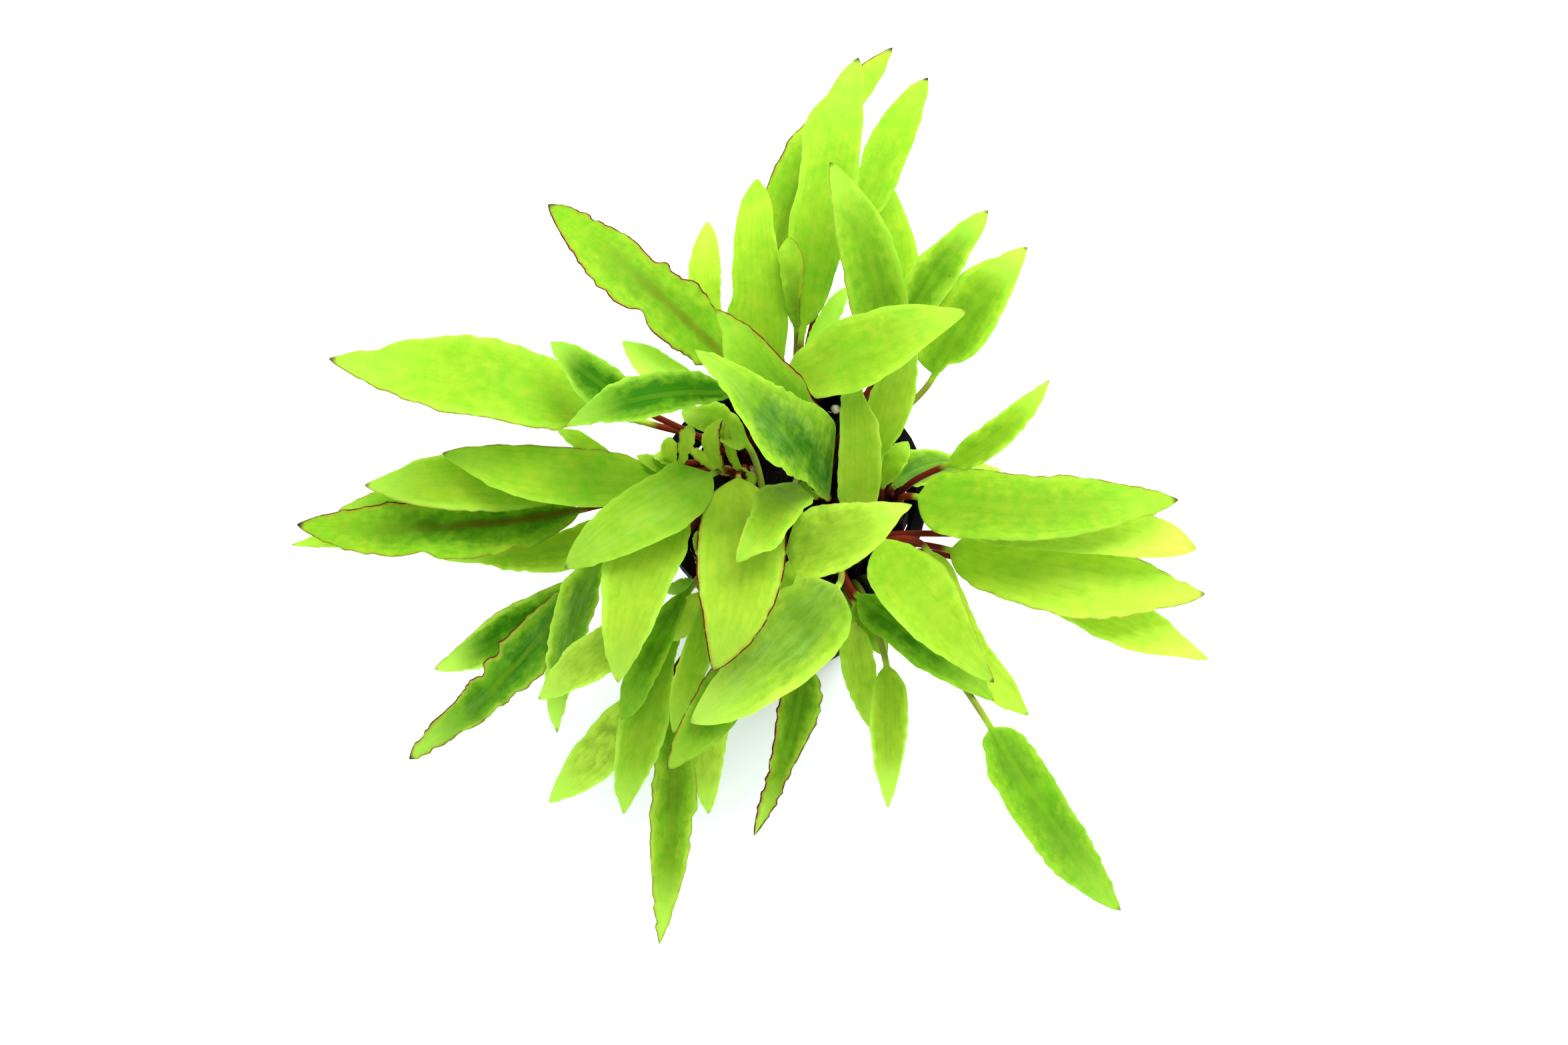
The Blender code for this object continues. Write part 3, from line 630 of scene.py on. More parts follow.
VIEWPOINT = Vector((0, 0, POT_HEIGHT)) - sight_line(*RIM_MIDDLE_PX) * VIEW_DISTANCE


def spot(at):
    """The point that the photograph shows at a pixel, at its height."""
    line = sight_line(at.x_px, at.y_px)
    return VIEWPOINT + line * ((at.up_mm * MM - VIEWPOINT.z) / line.z)


def on_photo(points):
    """The pixels at which the photograph shows these points."""
    away = points - np.array(VIEWPOINT)
    depth = away @ np.array(LOOK)
    across = FOCAL_PX * (away @ np.array(LOOK_RIGHT)) / depth
    above = FOCAL_PX * (away @ np.array(LOOK_UP)) / depth
    return np.stack([PHOTO_MIDDLE[0] + across, PHOTO_MIDDLE[1] - above], 1)


def round_axis(radius, turn, height):
    return Vector((radius * math.cos(turn), radius * math.sin(turn), height))


def bezier(controls, shares):
    """Points on the Bezier curve with these controls, one row for each share."""
    points = [np.outer(np.ones(len(shares)), np.array(c)) for c in controls]
    t = np.array(shares)[:, None]
    while len(points) > 1:
        points = [a * (1 - t) + b * t for a, b in zip(points, points[1:])]
    return points[0]


def bezier_direction(controls, shares):
    steps = [b - a for a, b in zip(controls, controls[1:])]
    return unit(bezier(steps, shares))


def unit(rows):
    return rows / np.maximum(np.linalg.norm(rows, axis=1), TINY)[:, None]


def smooth(low, high, values):
    """0 at low, 1 at high, and eased between them."""
    t = np.clip((values - low) / (high - low), 0, 1)
    return t * t * (3 - 2 * t)


def blade_controls(leaf):
    base, middle, tip = spot(leaf.base), spot(leaf.middle), spot(leaf.tip)
    return base, 2 * middle - (base + tip) / 2, tip


def stalk_controls(foot, blade):
    base = blade[0]
    length = (base - foot).length
    rise = max(LONG_RISE * length, min(SHORT_RISE * length, RIM_CLEARING_RISE))
    heading = (blade[1] - base).normalized()
    return foot, foot + UP * rise, base - heading * STALK_REACH * length, base


def width_shares(along, widest):
    """A blade's width at shares of its length: round at its base, pointed at its tip."""
    before = np.clip((widest - along) / widest, 0, 1)
    after = np.clip((along - widest) / (1 - widest), 0, 1)
    rounded = (1 - before**BASE_ROUNDNESS) ** BASE_FULLNESS
    return np.where(along < widest, rounded, (1 - after**TIP_ROUNDNESS) ** TIP_FULLNESS)


def fitted_halves(margin_px, centre, side, face, share, nominal):
    """How much wider than nominal each half of a blade is, from spots on its margins."""
    found = {-1: [], 1: []}
    midrib = on_photo(centre)
    for pixel in margin_px:
        best = None
        for hand in found:
            reach = on_photo(centre + (side * hand + face * BLADE_CUP) * nominal[:, None]) - midrib
            wanted = np.array(pixel) - midrib
            times = (wanted * reach).sum(1) / np.maximum((reach**2).sum(1), TINY)
            miss = np.linalg.norm(wanted - reach * times[:, None], axis=1)
            miss = np.where(times > LEAST_MATCH, miss, NO_MATCH)
            i = int(np.argmin(miss))
            if best is None or miss[i] < best[0]:
                best = miss[i], hand, share[i], times[i]
        found[best[1]].append((best[2], min(max(best[3], LEAST_FIT), MOST_FIT)))
    fits = []
    for spots in found.values():
        shares, widths = zip(*(sorted(spots) or [(0.5, 1.0)]))
        fit = np.interp(share, shares, widths)
        fits.append(np.convolve(np.pad(fit, 1, "edge"), FIT_SMOOTHING, "valid"))
    return fits


def spread(headings, radius):
    """Turns near these headings, pushed apart so that stalks on a ring of this radius clear each other."""
    least = 2 * math.asin(STALK_PITCH / 2 / radius)
    order = sorted(range(len(headings)), key=lambda i: headings[i])
    turns = [headings[i] for i in order]
    for _ in range(SPREAD_ROUNDS):
        for i in range(len(turns)):
            after = (i + 1) % len(turns)
            lap = TURN if after <= i else 0
            short = least - (turns[after] + lap - turns[i])
            if after != i and short > 0:
                turns[i] -= short / 2
                turns[after] += short / 2
    return dict(zip(order, turns))


def crown_centre(crown):
    return Vector((crown.x_mm * MM, crown.y_mm * MM, STALK_FOOT))


def stalk_feet(crown, leaves):
    """A foot for each leaf: the higher half of a crown's leaves grow inside the lower half."""
    centre = crown_centre(crown)
    by_height = sorted(leaves, key=lambda leaf: -leaf.base.up_mm)
    inner = (len(leaves) + 1) // 2
    feet = {}
    for ringed, radius in ((by_height[:inner], INNER_STALKS), (by_height[inner:], OUTER_STALKS)):
        ways = [spot(leaf.base) - centre for leaf in ringed]
        headings = [math.atan2(way.y, way.x) for way in ways]
        for i, turn in spread(headings, radius).items():
            feet[ringed[i]] = centre + round_axis(radius, turn, 0)
    return feet


def new_mesh(name, vertices, faces):
    mesh = bpy.data.meshes.new(name)
    mesh.from_pydata(vertices, [], faces)
    mesh.shade_smooth()
    return mesh


def mesh_from(name, bm):
    mesh = bpy.data.meshes.new(name)
    bm.to_mesh(mesh)
    bm.free()
    return mesh


def add_object(name, mesh, finish):
    mesh.materials.append(finish)
    piece = bpy.data.objects.new(name, mesh)
    bpy.context.scene.collection.objects.link(piece)
    return piece


def add_piece(mesh, finish, slot, *nodes):
    """A visible piece of the plant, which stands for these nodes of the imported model."""
    piece = add_object(mesh.name, mesh, finish)
    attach(piece, "root")
    if nodes:
        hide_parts(*nodes)


def lumpy(point, layers):
    """Noise at a point, in layers of so many waves in a metre and so large a share."""
    return sum(noise.noise(point * waves) * share for waves, share in layers)


def wavy(rng, count, along):
    """A smooth wandering line from -1 to 1: waves of uneven length, which die down in places."""
    phase = rng.uniform(0, TURN, 4)
    turn = TURN * along * count
    drift = DRIFT * np.sin(TURN * along * DRIFT_WAVES + phase[2])
    swell = 1 - SWELL + SWELL * np.sin(TURN * along * SWELL_WAVES + phase[3])
    ripple = RIPPLE * np.sin(RIPPLE_WAVES * turn + phase[1] - drift)
    return swell * ((1 - RIPPLE) * np.sin(turn + phase[0] + drift) + ripple)


def write_layer(mesh, name, pairs):
    """Keeps two numbers on each corner of a mesh, where its material reads them."""
    layer = mesh.uv_layers.new(name=name)
    layer.data.foreach_set("uv", np.asarray(pairs, np.float32).ravel())


def strip_faces(rows, around):
    """The faces of a loft of quads, with a cap at its first row and a fan to one point after its last."""
    row = np.arange(rows - 1)[:, None] * around
    column = np.arange(around)
    after = (column + 1) % around
    quads = np.stack([row + column, row + around + column, row + around + after, row + after], -1)
    last = (rows - 1) * around
    fan = [[last + j, rows * around, last + (j + 1) % around] for j in range(around)]
    return quads.reshape(-1, 4).tolist() + [list(range(around))] + fan


def unwrap_strip(mesh, rows, around):
    """Lays those faces flat, without overlaps."""
    row, column = np.divmod(np.arange((rows - 1) * around), around)
    low, high = (UNWRAP_LOW + UNWRAP_TALL * level / rows for level in (row, row + 1))
    left, right = column / around, (column + 1) / around
    corners = ((left, low), (left, high), (right, high), (right, low))
    quads = np.stack([np.stack(corner, 1) for corner in corners], 1).reshape(-1, 2)
    turn = TURN * np.arange(around) / around
    cap = CAP_MIDDLE + CAP_RADIUS * np.stack([np.cos(turn), np.sin(turn)], 1)
    top = UNWRAP_LOW + UNWRAP_TALL * (rows - 1) / rows
    fan = [((j / around, top), ((j + 0.5) / around, 1.0), ((j + 1) / around, top)) for j in range(around)]
    write_layer(mesh, "OFBake", np.concatenate([quads, cap, np.reshape(fan, (-1, 2))]))


def leaf_skeleton(leaf, foot, blade_rows, stalk_rows):
    """Rows from a leaf's foot to its tip: their place along it, below 0 on the stalk, and their axes."""
    blade = blade_controls(leaf)
    stalk = stalk_controls(foot, blade)
    even = np.linspace(0, 1, blade_rows)
    closer = 0.5 - 0.5 * np.cos(math.pi * even)
    along_blade = (EVEN_ROWS * even + (1 - EVEN_ROWS) * closer)[1:] * LAST_ROW
    along_stalk = np.linspace(0, 1, stalk_rows)
    centre = np.concatenate([bezier(stalk, along_stalk), bezier(blade, along_blade)])
    started = np.clip(along_stalk, STALK_START, 1)
    heading = np.concatenate([bezier_direction(stalk, started), bezier_direction(blade, along_blade)])
    level = np.array(Vector((blade[2].y - blade[0].y, blade[0].x - blade[2].x, 0)).normalized())
    side = unit(level - heading * (heading @ level)[:, None])
    along = np.concatenate([along_stalk - 1, along_blade])[:, None]
    return along, centre, heading, side, (blade[2] - blade[0]).length / MM


def dimples(rng, share, columns, length_mm):
    """Shallow lumps all over a blade."""
    start = rng.uniform(0, DIMPLES_MOST_SHIFT, 2)
    depth = np.zeros((len(share), len(columns)))
    for i, v in enumerate(share[:, 0]):
        if v > 0:
            for j, u in enumerate(columns):
                place = u * DIMPLES_ACROSS + start[0], v * length_mm * DIMPLES_PER_MM + start[1], 0
                depth[i, j] = noise.noise(Vector(place))
    return depth


def leaf_mesh(name, key, leaf, foot, seed, blade_rows=84, stalk_rows=16, across=25):
    """A stalk and its blade as one closed skin, with the margin's waves, the midrib and the veins."""
    rng = np.random.RandomState(seed)
    look = LOOKS[key]
    along, centre, heading, side, length_mm = leaf_skeleton(leaf, foot, blade_rows, stalk_rows)
    face = np.cross(side, heading)
    share = np.clip(along, 0, 1)

    # Columns run over the upper side from the left margin to the right, and back below
    spacing = np.linspace(-1, 1, across)
    top = EVEN_COLUMNS * spacing + (1 - EVEN_COLUMNS) * np.sin(math.pi * spacing / 2)
    columns = np.concatenate([top, top[-2:0:-1]])
    upper = np.concatenate([np.ones(across), -np.ones(across - 2)])
    edge = np.abs(columns)
    on_left = columns < 0

    half = leaf.width_mm * MM / 2 * width_shares(share, leaf.widest)
    on_blade = [rows[stalk_rows:] for rows in (centre, side, face, share[:, 0], half[:, 0])]
    stalk_radius = STALK_RADIUS * (STALK_WAIST + (1 - STALK_WAIST) * smooth(*STALK_FLARE, along))
    least = STALK_RADIUS * (1 - share) + LEAST_HALF
    halves = []
    for fit in fitted_halves(MARGINS_PX.get(key, ()), *on_blade):
        fit = np.pad(fit, (stalk_rows, 0), "edge")[:, None]
        halves.append(np.where(along > 0, np.maximum(half * fit, least), stalk_radius))

    calm = smooth(*CALM_BASE, share) * smooth(*CALM_TIP, share)
    waves = [wavy(rng, look.waves, share) * calm * look.wave * MM for _ in halves]
    uneven = (LEAST_NIBBLE + NIBBLE_OF_WAVE * look.wave * MM) * calm
    halves = [
        reach * (1 + uneven * wavy(rng, look.waves * NIBBLES_PER_WAVE, share) / np.maximum(reach, MM))
        for reach in halves
    ]

    half_here = np.where(on_left, *halves)
    aside = columns * half_here
    opened = smooth(*STALK_TO_BLADE, share)
    slight = min(1, leaf.width_mm / RIB_FULL_WIDTH_MM)
    rib_base, rib_power, rib_tip = RIB_TAPER
    rib = STALK_RADIUS * slight * (rib_base * (1 - share) ** rib_power + rib_tip)

    height = BLADE_CUP * half_here * edge**CUP_POWER * opened
    height = height + np.where(on_left, *waves) * edge**WAVE_POWER
    height = height + wavy(rng, SWAY_WAVES, share) * calm * SWAY * columns
    veined = smooth(*VEINS_FROM_BASE, share) * smooth(*VEINS_TO_TIP, share) * smooth(*VEINS_TO_EDGE, edge)
    height = height - VEIN_DEPTH * np.cos(TURN * VEINS * edge) * veined
    dimpled = dimples(rng, share, columns, length_mm) * opened * smooth(*CALM_TIP, share)
    height = height + DIMPLE_DEPTH * dimpled

    round_half = stalk_radius * np.sqrt(np.maximum(0, 1 - columns**2))
    thin = BLADE_THICKNESS / 2 * np.sqrt(np.maximum(0, 1 - edge**SKIN_POWER))
    near_rib = rib * np.exp(-((aside / (RIB_SPREAD * rib)) ** 2))
    groove = GROOVE_DEPTH * slight * (1 - share) * np.exp(-((aside / GROOVE_HALF) ** 2))
    leafy = np.where(upper > 0, thin + RIB_ABOVE * near_rib - groove, thin + RIB_BELOW * near_rib)
    leafy = np.where(edge > SKIN_EDGE, 0, leafy)
    lift = height + upper * (round_half * (1 - opened) + leafy * opened)

    points = centre[:, None] + side[:, None] * aside[..., None] + face[:, None] * lift[..., None]
    rows, around = aside.shape
    tip = centre[-1] + heading[-1] * TIP_LENGTH
    mesh = new_mesh(name, np.vstack([points.reshape(-1, 3), tip]).tolist(), strip_faces(rows, around))

    corner = np.zeros(len(mesh.loops), np.int32)
    mesh.loops.foreach_get("vertex_index", corner)
    inside = np.minimum(corner, rows * around - 1)

    def on_corners(*values):
        return np.stack([np.broadcast_to(value, aside.shape).ravel()[inside] for value in values], 1)

    travelled = np.cumsum(np.linalg.norm(np.diff(centre, axis=0, prepend=centre[:1]), axis=1))[:, None]
    travelled = travelled - travelled[stalk_rows - 1]
    place = on_corners(columns, along)
    place[corner == rows * around] = 0, 1
    red = look.red if isinstance(look.red, tuple) else (look.red, look.red)
    unwrap_strip(mesh, rows, around)
    write_layer(mesh, "Blade", place)
    for layer, *values in (
        ("Size", aside / MM, travelled / MM),
        ("DarkRed", look.dark, np.where(on_left, *red)),
        ("VeinPale", look.vein, look.pale),
        ("BurntTone", look.burnt, look.tone),
        ("StalkSheen", look.stalk, look.bloom),
        ("SpecksSeed", look.specks, rng.uniform(0, PATTERN_MOST_SHIFT)),
    ):
        write_layer(mesh, layer, on_corners(*values))
    mesh.set_sharp_from_angle(angle=SHARP_ANGLE)
    return mesh


class Nodes:
    """A material's shader nodes, made and joined by short names."""

    def __init__(self, name):
        self.material = bpy.data.materials.new(name)
        self.material.use_nodes = True
        self.tree = self.material.node_tree
        self.tree.nodes.clear()

    def add(self, kind, inputs, output=0, **settings):
        """An output of a new node, whose inputs are other nodes' outputs, numbers or colours."""
        node = self.tree.nodes.new(kind)
        for key, value in settings.items():
            setattr(node, key, value)
        for key, value in inputs.items():
            socket = node.inputs[key]
            if isinstance(value, bpy.types.NodeSocket):
                self.tree.links.new(value, socket)
            elif socket.type == "RGBA":
                socket.default_value = (*value, 1)
            else:
                socket.default_value = value
        return node.outputs[output] if node.outputs else None

    def math(self, kind, *values):
        """One operation on these values, repeated from the left where there are more than two."""
        result = values[0]
        for value in values[1:]:
            result = self.add("ShaderNodeMath", {0: result, 1: value}, operation=kind)
        return result

    def times(self, *values):
        return self.math("MULTIPLY", *values)

    def plus(self, *values):
        return self.math("ADD", *values)

    def size(self, value):
        return self.add("ShaderNodeMath", {0: value}, operation="ABSOLUTE")

    def swing(self, value, amount):
        """A noise, from 0 to 1, as so large an amount below and above nothing."""
        return self.times(self.math("SUBTRACT", value, 0.5), amount)

    def between(self, value, low, high, to_low=0.0, to_high=1.0):
        """value eased from low to high onto to_low to to_high"""
        ends = {"From Min": low, "From Max": high, "To Min": to_low, "To Max": to_high}
        return self.add("ShaderNodeMapRange", {"Value": value, **ends}, interpolation_type="SMOOTHSTEP")

    def mix(self, share, first, second):
        return self.add("ShaderNodeMix", {0: share, 6: first, 7: second}, 2, data_type="RGBA")

    def uv(self, layer):
        pair = self.add("ShaderNodeUVMap", {}, uv_map=layer)
        first = self.add("ShaderNodeSeparateXYZ", {0: pair})
        return first, first.node.outputs[1]

    def vector(self, x, y, z):
        return self.add("ShaderNodeCombineXYZ", {0: x, 1: y, 2: z})

    def noise(self, place, scale, detail=2.0, roughness=0.5):
        grain = {"Scale": scale, "Detail": detail, "Roughness": roughness}
        return self.add("ShaderNodeTexNoise", {"Vector": place, **grain})

    def place(self):
        return self.add("ShaderNodeTexCoord", {}).node.outputs["Object"]

    def bump(self, height, strength, distance):
        return self.add("ShaderNodeBump", {"Strength": strength, "Distance": distance, "Height": height})

    def skin(self, colour, roughness, specular=0.5, **inputs):
        basics = {"Base Color": colour, "Roughness": roughness, "Specular IOR Level": specular}
        return self.add("ShaderNodeBsdfPrincipled", {**basics, **inputs})

    def finish(self, shader):
        self.add("ShaderNodeOutputMaterial", {0: shader})
        return self.material


def srgb(red, green, blue):
    """A colour as a screen shows it, from 0 to 255, as linear light."""
    parts = []
    for value in (red, green, blue):
        value /= 255
        parts.append(value / 12.92 if value <= 0.04045 else ((value + 0.055) / 1.055) ** 2.4)
    return tuple(parts)


LEAF_LIGHT = srgb(172, 201, 52)
LEAF_MID = srgb(120, 186, 34)
LEAF_DARK = srgb(72, 140, 14)
LEAF_DEEP = srgb(50, 118, 4)
LEAF_YELLOW = srgb(198, 226, 84)
LEAF_PALE = srgb(192, 230, 95)
RIB_PALE = srgb(182, 214, 52)
LEAF_PAINTED_SHEEN = srgb(160, 206, 110)
MARGIN_RED = srgb(96, 34, 26)
MARGIN_TAN = srgb(168, 140, 50)
TIP_BROWN = srgb(84, 58, 48)
STALK_RED = srgb(90, 10, 8)
STALK_PAINTED_SHADE = srgb(20, 3, 2)
STALK_OLIVE = srgb(112, 130, 42)

# Noises on a leaf: their scale, detail and roughness
CLOUD = (0.16, 3, 0.55)
MOTTLE = (0.75, 4, 0.6)
MOTTLE_STRETCH = 0.45
STREAKS = (1.0, 3, 0.6)
STREAKS_ACROSS = 7
STREAKS_STRETCH = 0.16
PATCHES = (0.6, 3, 0.6)
FINE_GRAIN = (3.2, 3, 0.6)
RED_PATCHES = (0.35, 3, 0.6)
SPECKS_NOISE = (0.12, 1)
SPECKS_CHOSEN = 0.5
SPECK_SCALE = 0.22

# How the green wanders between its two shades with the cloud, the mottle, the patches and the streaks
GREEN_SWINGS = (1.1, 0.6, 1.0, 0.25)
GREEN_MIDDLE = 0.55
GREEN_WITH_TONE = 0.45

# How ragged the markings are at their edges, in the unit of what each follows
DARK_RAGGED = (0.7, 0.5)
VEINS_RAGGED = 0.25
BLUSH_RAGGED_MM = 0.8
PALE_RAGGED = 0.25
RED_RAGGED_MM = 0.25
BURNT_RAGGED = 0.03

# Where a leaf's markings begin and where they are full, and then how strong they are at the two, where that
# isn't 0 and 1. "Along" is 0 at the blade's base, 1 at its tip and -1 at the stalk's foot, and "edge" is 0
# at the midrib and 1 at the margin. Noises and looks have no unit.
DARK_EDGE = (1.05, 0.15)
DARK_ALONG = (1.0, 0.45)
DARK_CLOUD = (0.25, 0.6, 0.45, 1.0)
DEEP_TONE = (0.0, -1.0, 0.0, 0.9)
YELLOW_TONE = (0.3, 1.0)
YELLOW_MOTTLE = (0.3, 0.7, 0.5, 1.0)
PAINTED_SHEEN_STREAK = (0.3, 0.75)
PAINTED_SHEEN_EDGE = (0.95, 0.4)
PAINTED_SHEEN_CLOUD = (0.3, 0.6, 0.35, 0.75)
VEIN_LINE = (0.09, 0.02)
VEIN_SHADE = (0.26, 0.06)
VEIN_EDGE = (0.96, 0.85)
VEIN_ALONG = (0.0, 0.08)
VEIN_HALF_MM = (1.5, 4.5)
VEIN_STRENGTH = 0.05
LEAST_EDGE = 0.05
GROOVE_SHADE_MM = (0.22, 0.05)
RIDGE_MM = (0.75, 0.3)
RIDGE_ALONG = (1.0, 0.2, 0.03, 0.12)
BLUSH_MM = (1.8, 0.55)
BLUSH_ALONG = (0.85, 0.2)
BLUSH_STRENGTH = 0.75
PALE_EDGE = (0.68, 1.0)
PALE_ALONG = (0.1, 0.8, 0.4, 1.0)
PALE_TIP = (0.6, 0.97)
PALE_LEAF = (1.0, 2.0)
PAINTED_HIGHLIGHT_EDGE = (0.955, 0.985)
PAINTED_HIGHLIGHT_STRENGTH = 0.12
RED_ALONG = (0.05, 0.35, 0.5, 1.0)
RED_EDGE = (0.3, 0.5)
RED_BROKEN = (0.3, 0.55)
TAN_MM = (1.1, 0.3)
TAN_STRENGTH = 0.6
BROWN_MM = (0.42, 0.16)
BROWN_UNBROKEN = 0.5
BURNT_ALONG = (0.965, 0.992)
SPECK_SIZE = (0.075, 0.04)
SPECK_STRENGTH = 0.8
STAIN_MOTTLE = (0.2, 0.5, 0.92, 1.0)
OLIVE_GRAIN = (0.5, 0.8, 0.0, 0.08)
PAINTED_SHADE_ALONG = (-0.3, -0.8, 0.0, 0.9)
STALK_END = (-0.12, 0.03)
GLOW_ALONG = (-0.05, 0.05, 0.05, 0.55)
LEAF_ROUGHNESS = (0.2, 0.8, 0.42, 0.56)
LEAF_SPECULAR = 0.04
LEAF_BUMP = (0.25, 0.06 * MM)
GRAIN_RELIEF = 0.5


def leaf_material():
    n = Nodes("leaf_green")
    across, along = n.uv("Blade")
    aside_mm, travelled_mm = n.uv("Size")
    dark, red = n.uv("DarkRed")
    vein, pale = n.uv("VeinPale")
    burnt, tone = n.uv("BurntTone")
    stalk, bloom = n.uv("StalkSheen")
    specks, seed = n.uv("SpecksSeed")
    edge = n.size(across)
    aside = n.size(aside_mm)
    flat = n.vector(aside_mm, travelled_mm, seed)

    # Noises in the blade's own millimetres, drawn out along it for the mottle and the streaks
    cloud = n.noise(flat, *CLOUD)
    mottle = n.noise(n.vector(aside_mm, n.times(travelled_mm, MOTTLE_STRETCH), seed), *MOTTLE)
    drawn = n.vector(n.times(across, STREAKS_ACROSS), n.times(travelled_mm, STREAKS_STRETCH), seed)
    streak = n.noise(drawn, *STREAKS)
    patch = n.noise(flat, *PATCHES)
    grain = n.noise(flat, *FINE_GRAIN)

    swings = [n.swing(*pair) for pair in zip((cloud, mottle, patch, streak), GREEN_SWINGS)]
    green = n.plus(GREEN_MIDDLE, *swings, n.times(tone, GREEN_WITH_TONE))
    colour = n.mix(green, LEAF_MID, LEAF_LIGHT)
    colour = n.mix(n.between(tone, *DEEP_TONE), colour, LEAF_DARK)

    # Deep green along the middle of the blade, broken up at its edges: the leaf's own dark centre, and on
    # some leaves painted shade where other leaves lie over it
    ragged = [n.swing(*pair) for pair in zip((mottle, patch), DARK_RAGGED)]
    band = n.between(n.plus(edge, *ragged), *DARK_EDGE)
    broken = n.between(cloud, *DARK_CLOUD)
    colour = n.mix(n.times(band, n.between(along, *DARK_ALONG), broken, dark), colour, LEAF_DEEP)
    yellow = n.times(n.between(tone, *YELLOW_TONE), n.between(mottle, *YELLOW_MOTTLE))
    colour = n.mix(yellow, colour, LEAF_YELLOW)

    # Whitish streaks of painted sheen along the veins
    painted_sheen_mask = n.times(n.between(streak, *PAINTED_SHEEN_STREAK), n.between(edge, *PAINTED_SHEEN_EDGE), bloom)
    colour = n.mix(n.times(painted_sheen_mask, n.between(cloud, *PAINTED_SHEEN_CLOUD)), colour, LEAF_PAINTED_SHEEN)

    # Lengthwise veins, fine and pale, with painted shade beside each
    lines = n.plus(n.times(edge, VEINS), n.swing(cloud, VEINS_RAGGED))
    nearest = n.add("ShaderNodeMath", {0: lines}, operation="ROUND")
    off_line = n.size(n.math("SUBTRACT", lines, nearest))
    line = n.between(off_line, *VEIN_LINE)
    half_mm = n.math("DIVIDE", aside, n.math("MAXIMUM", edge, LEAST_EDGE))
    on_blade = n.times(n.between(edge, *VEIN_EDGE), n.between(along, *VEIN_ALONG))
    on_blade = n.times(on_blade, n.between(half_mm, *VEIN_HALF_MM))
    shade = n.times(n.between(off_line, *VEIN_SHADE), on_blade)
    colour = n.mix(n.times(shade, VEIN_STRENGTH), colour, LEAF_DEEP)
    colour = n.mix(n.times(line, on_blade, VEIN_STRENGTH), colour, RIB_PALE)

    # The midrib: a thin groove darkened with painted shade, with a pale ridge on each side, red-brown on some
    # leaves
    ridge = n.times(n.between(aside, *RIDGE_MM), n.between(along, *RIDGE_ALONG))
    colour = n.mix(ridge, colour, RIB_PALE)
    colour = n.mix(n.times(n.between(aside, *GROOVE_SHADE_MM), VEIN_STRENGTH), colour, LEAF_DEEP)
    blush = n.between(n.plus(aside, n.times(mottle, BLUSH_RAGGED_MM)), *BLUSH_MM)
    blush = n.times(blush, n.between(along, *BLUSH_ALONG), vein, BLUSH_STRENGTH)
    colour = n.mix(blush, colour, STALK_RED)

    # Pale margins and tips, and wholly pale leaves
    margin = n.between(n.plus(edge, n.swing(mottle, PALE_RAGGED)), *PALE_EDGE)
    margin = n.times(margin, n.between(along, *PALE_ALONG))
    margin = n.math("MAXIMUM", margin, n.between(along, *PALE_TIP), n.between(pale, *PALE_LEAF))
    colour = n.mix(n.times(margin, pale), colour, LEAF_PALE)
    # A thin painted highlight along every margin
    colour = n.mix(n.times(n.between(edge, *PAINTED_HIGHLIGHT_EDGE), PAINTED_HIGHLIGHT_STRENGTH), colour, LEAF_PALE)

    # Red-brown margins with a tan halo
    patchy = n.between(n.noise(flat, *RED_PATCHES), *RED_BROKEN)
    red = n.times(red, n.between(along, *RED_ALONG), n.between(edge, *RED_EDGE))
    inward_mm = n.plus(n.math("SUBTRACT", half_mm, aside), n.swing(mottle, RED_RAGGED_MM))
    tan = n.times(n.between(inward_mm, *TAN_MM), red, patchy, TAN_STRENGTH)
    colour = n.mix(tan, colour, MARGIN_TAN)
    brown = n.times(n.between(inward_mm, *BROWN_MM), red, n.plus(patchy, BROWN_UNBROKEN))
    colour = n.mix(brown, colour, MARGIN_RED)

    # Brown tips, and dark specks
    tip = n.between(n.plus(along, n.swing(mottle, BURNT_RAGGED)), *BURNT_ALONG)
    colour = n.mix(n.times(tip, burnt), colour, TIP_BROWN)
    dots = n.add("ShaderNodeTexVoronoi", {"Vector": flat, "Scale": SPECK_SCALE}, "Distance", feature="F1")
    chosen = n.math("GREATER_THAN", n.noise(flat, *SPECKS_NOISE), SPECKS_CHOSEN)
    dot = n.times(n.between(dots, *SPECK_SIZE), chosen, specks, on_blade, SPECK_STRENGTH)
    colour = n.mix(dot, colour, TIP_BROWN)

    # The stalk, darker towards its foot with painted shade inside the pot, which turns green where the blade
    # begins
    stain = n.times(stalk, n.between(mottle, *STAIN_MOTTLE))
    stalk_colour = n.mix(stain, STALK_OLIVE, STALK_RED)
    stalk_colour = n.mix(n.between(grain, *OLIVE_GRAIN), stalk_colour, STALK_OLIVE)
    stalk_colour = n.mix(n.between(along, *PAINTED_SHADE_ALONG), stalk_colour, STALK_PAINTED_SHADE)
    colour = n.mix(n.between(along, *STALK_END), stalk_colour, colour)

    normal = n.bump(n.plus(n.times(line, on_blade), n.times(grain, GRAIN_RELIEF)), *LEAF_BUMP)
    skin = n.skin(colour, n.between(mottle, *LEAF_ROUGHNESS), LEAF_SPECULAR, Normal=normal)
    glow = n.add("ShaderNodeBsdfTranslucent", {"Color": colour, "Normal": normal})
    return n.finish(n.add("ShaderNodeMixShader", {0: n.between(along, *GLOW_ALONG), 1: skin, 2: glow}))


def speckled(name, dark, light, grain, roughness, specular=0.5, relief=None, ends=(0.35, 0.65)):
    """A material that wanders between two colours. grain: a noise's scale and detail, and relief: how
    strong and how deep its bumps are."""
    n = Nodes(name)
    shade = n.noise(n.place(), *grain)
    more = {"Normal": n.bump(shade, *relief)} if relief else {}
    return n.finish(n.skin(n.mix(n.between(shade, *ends), dark, light), roughness, specular, **more))


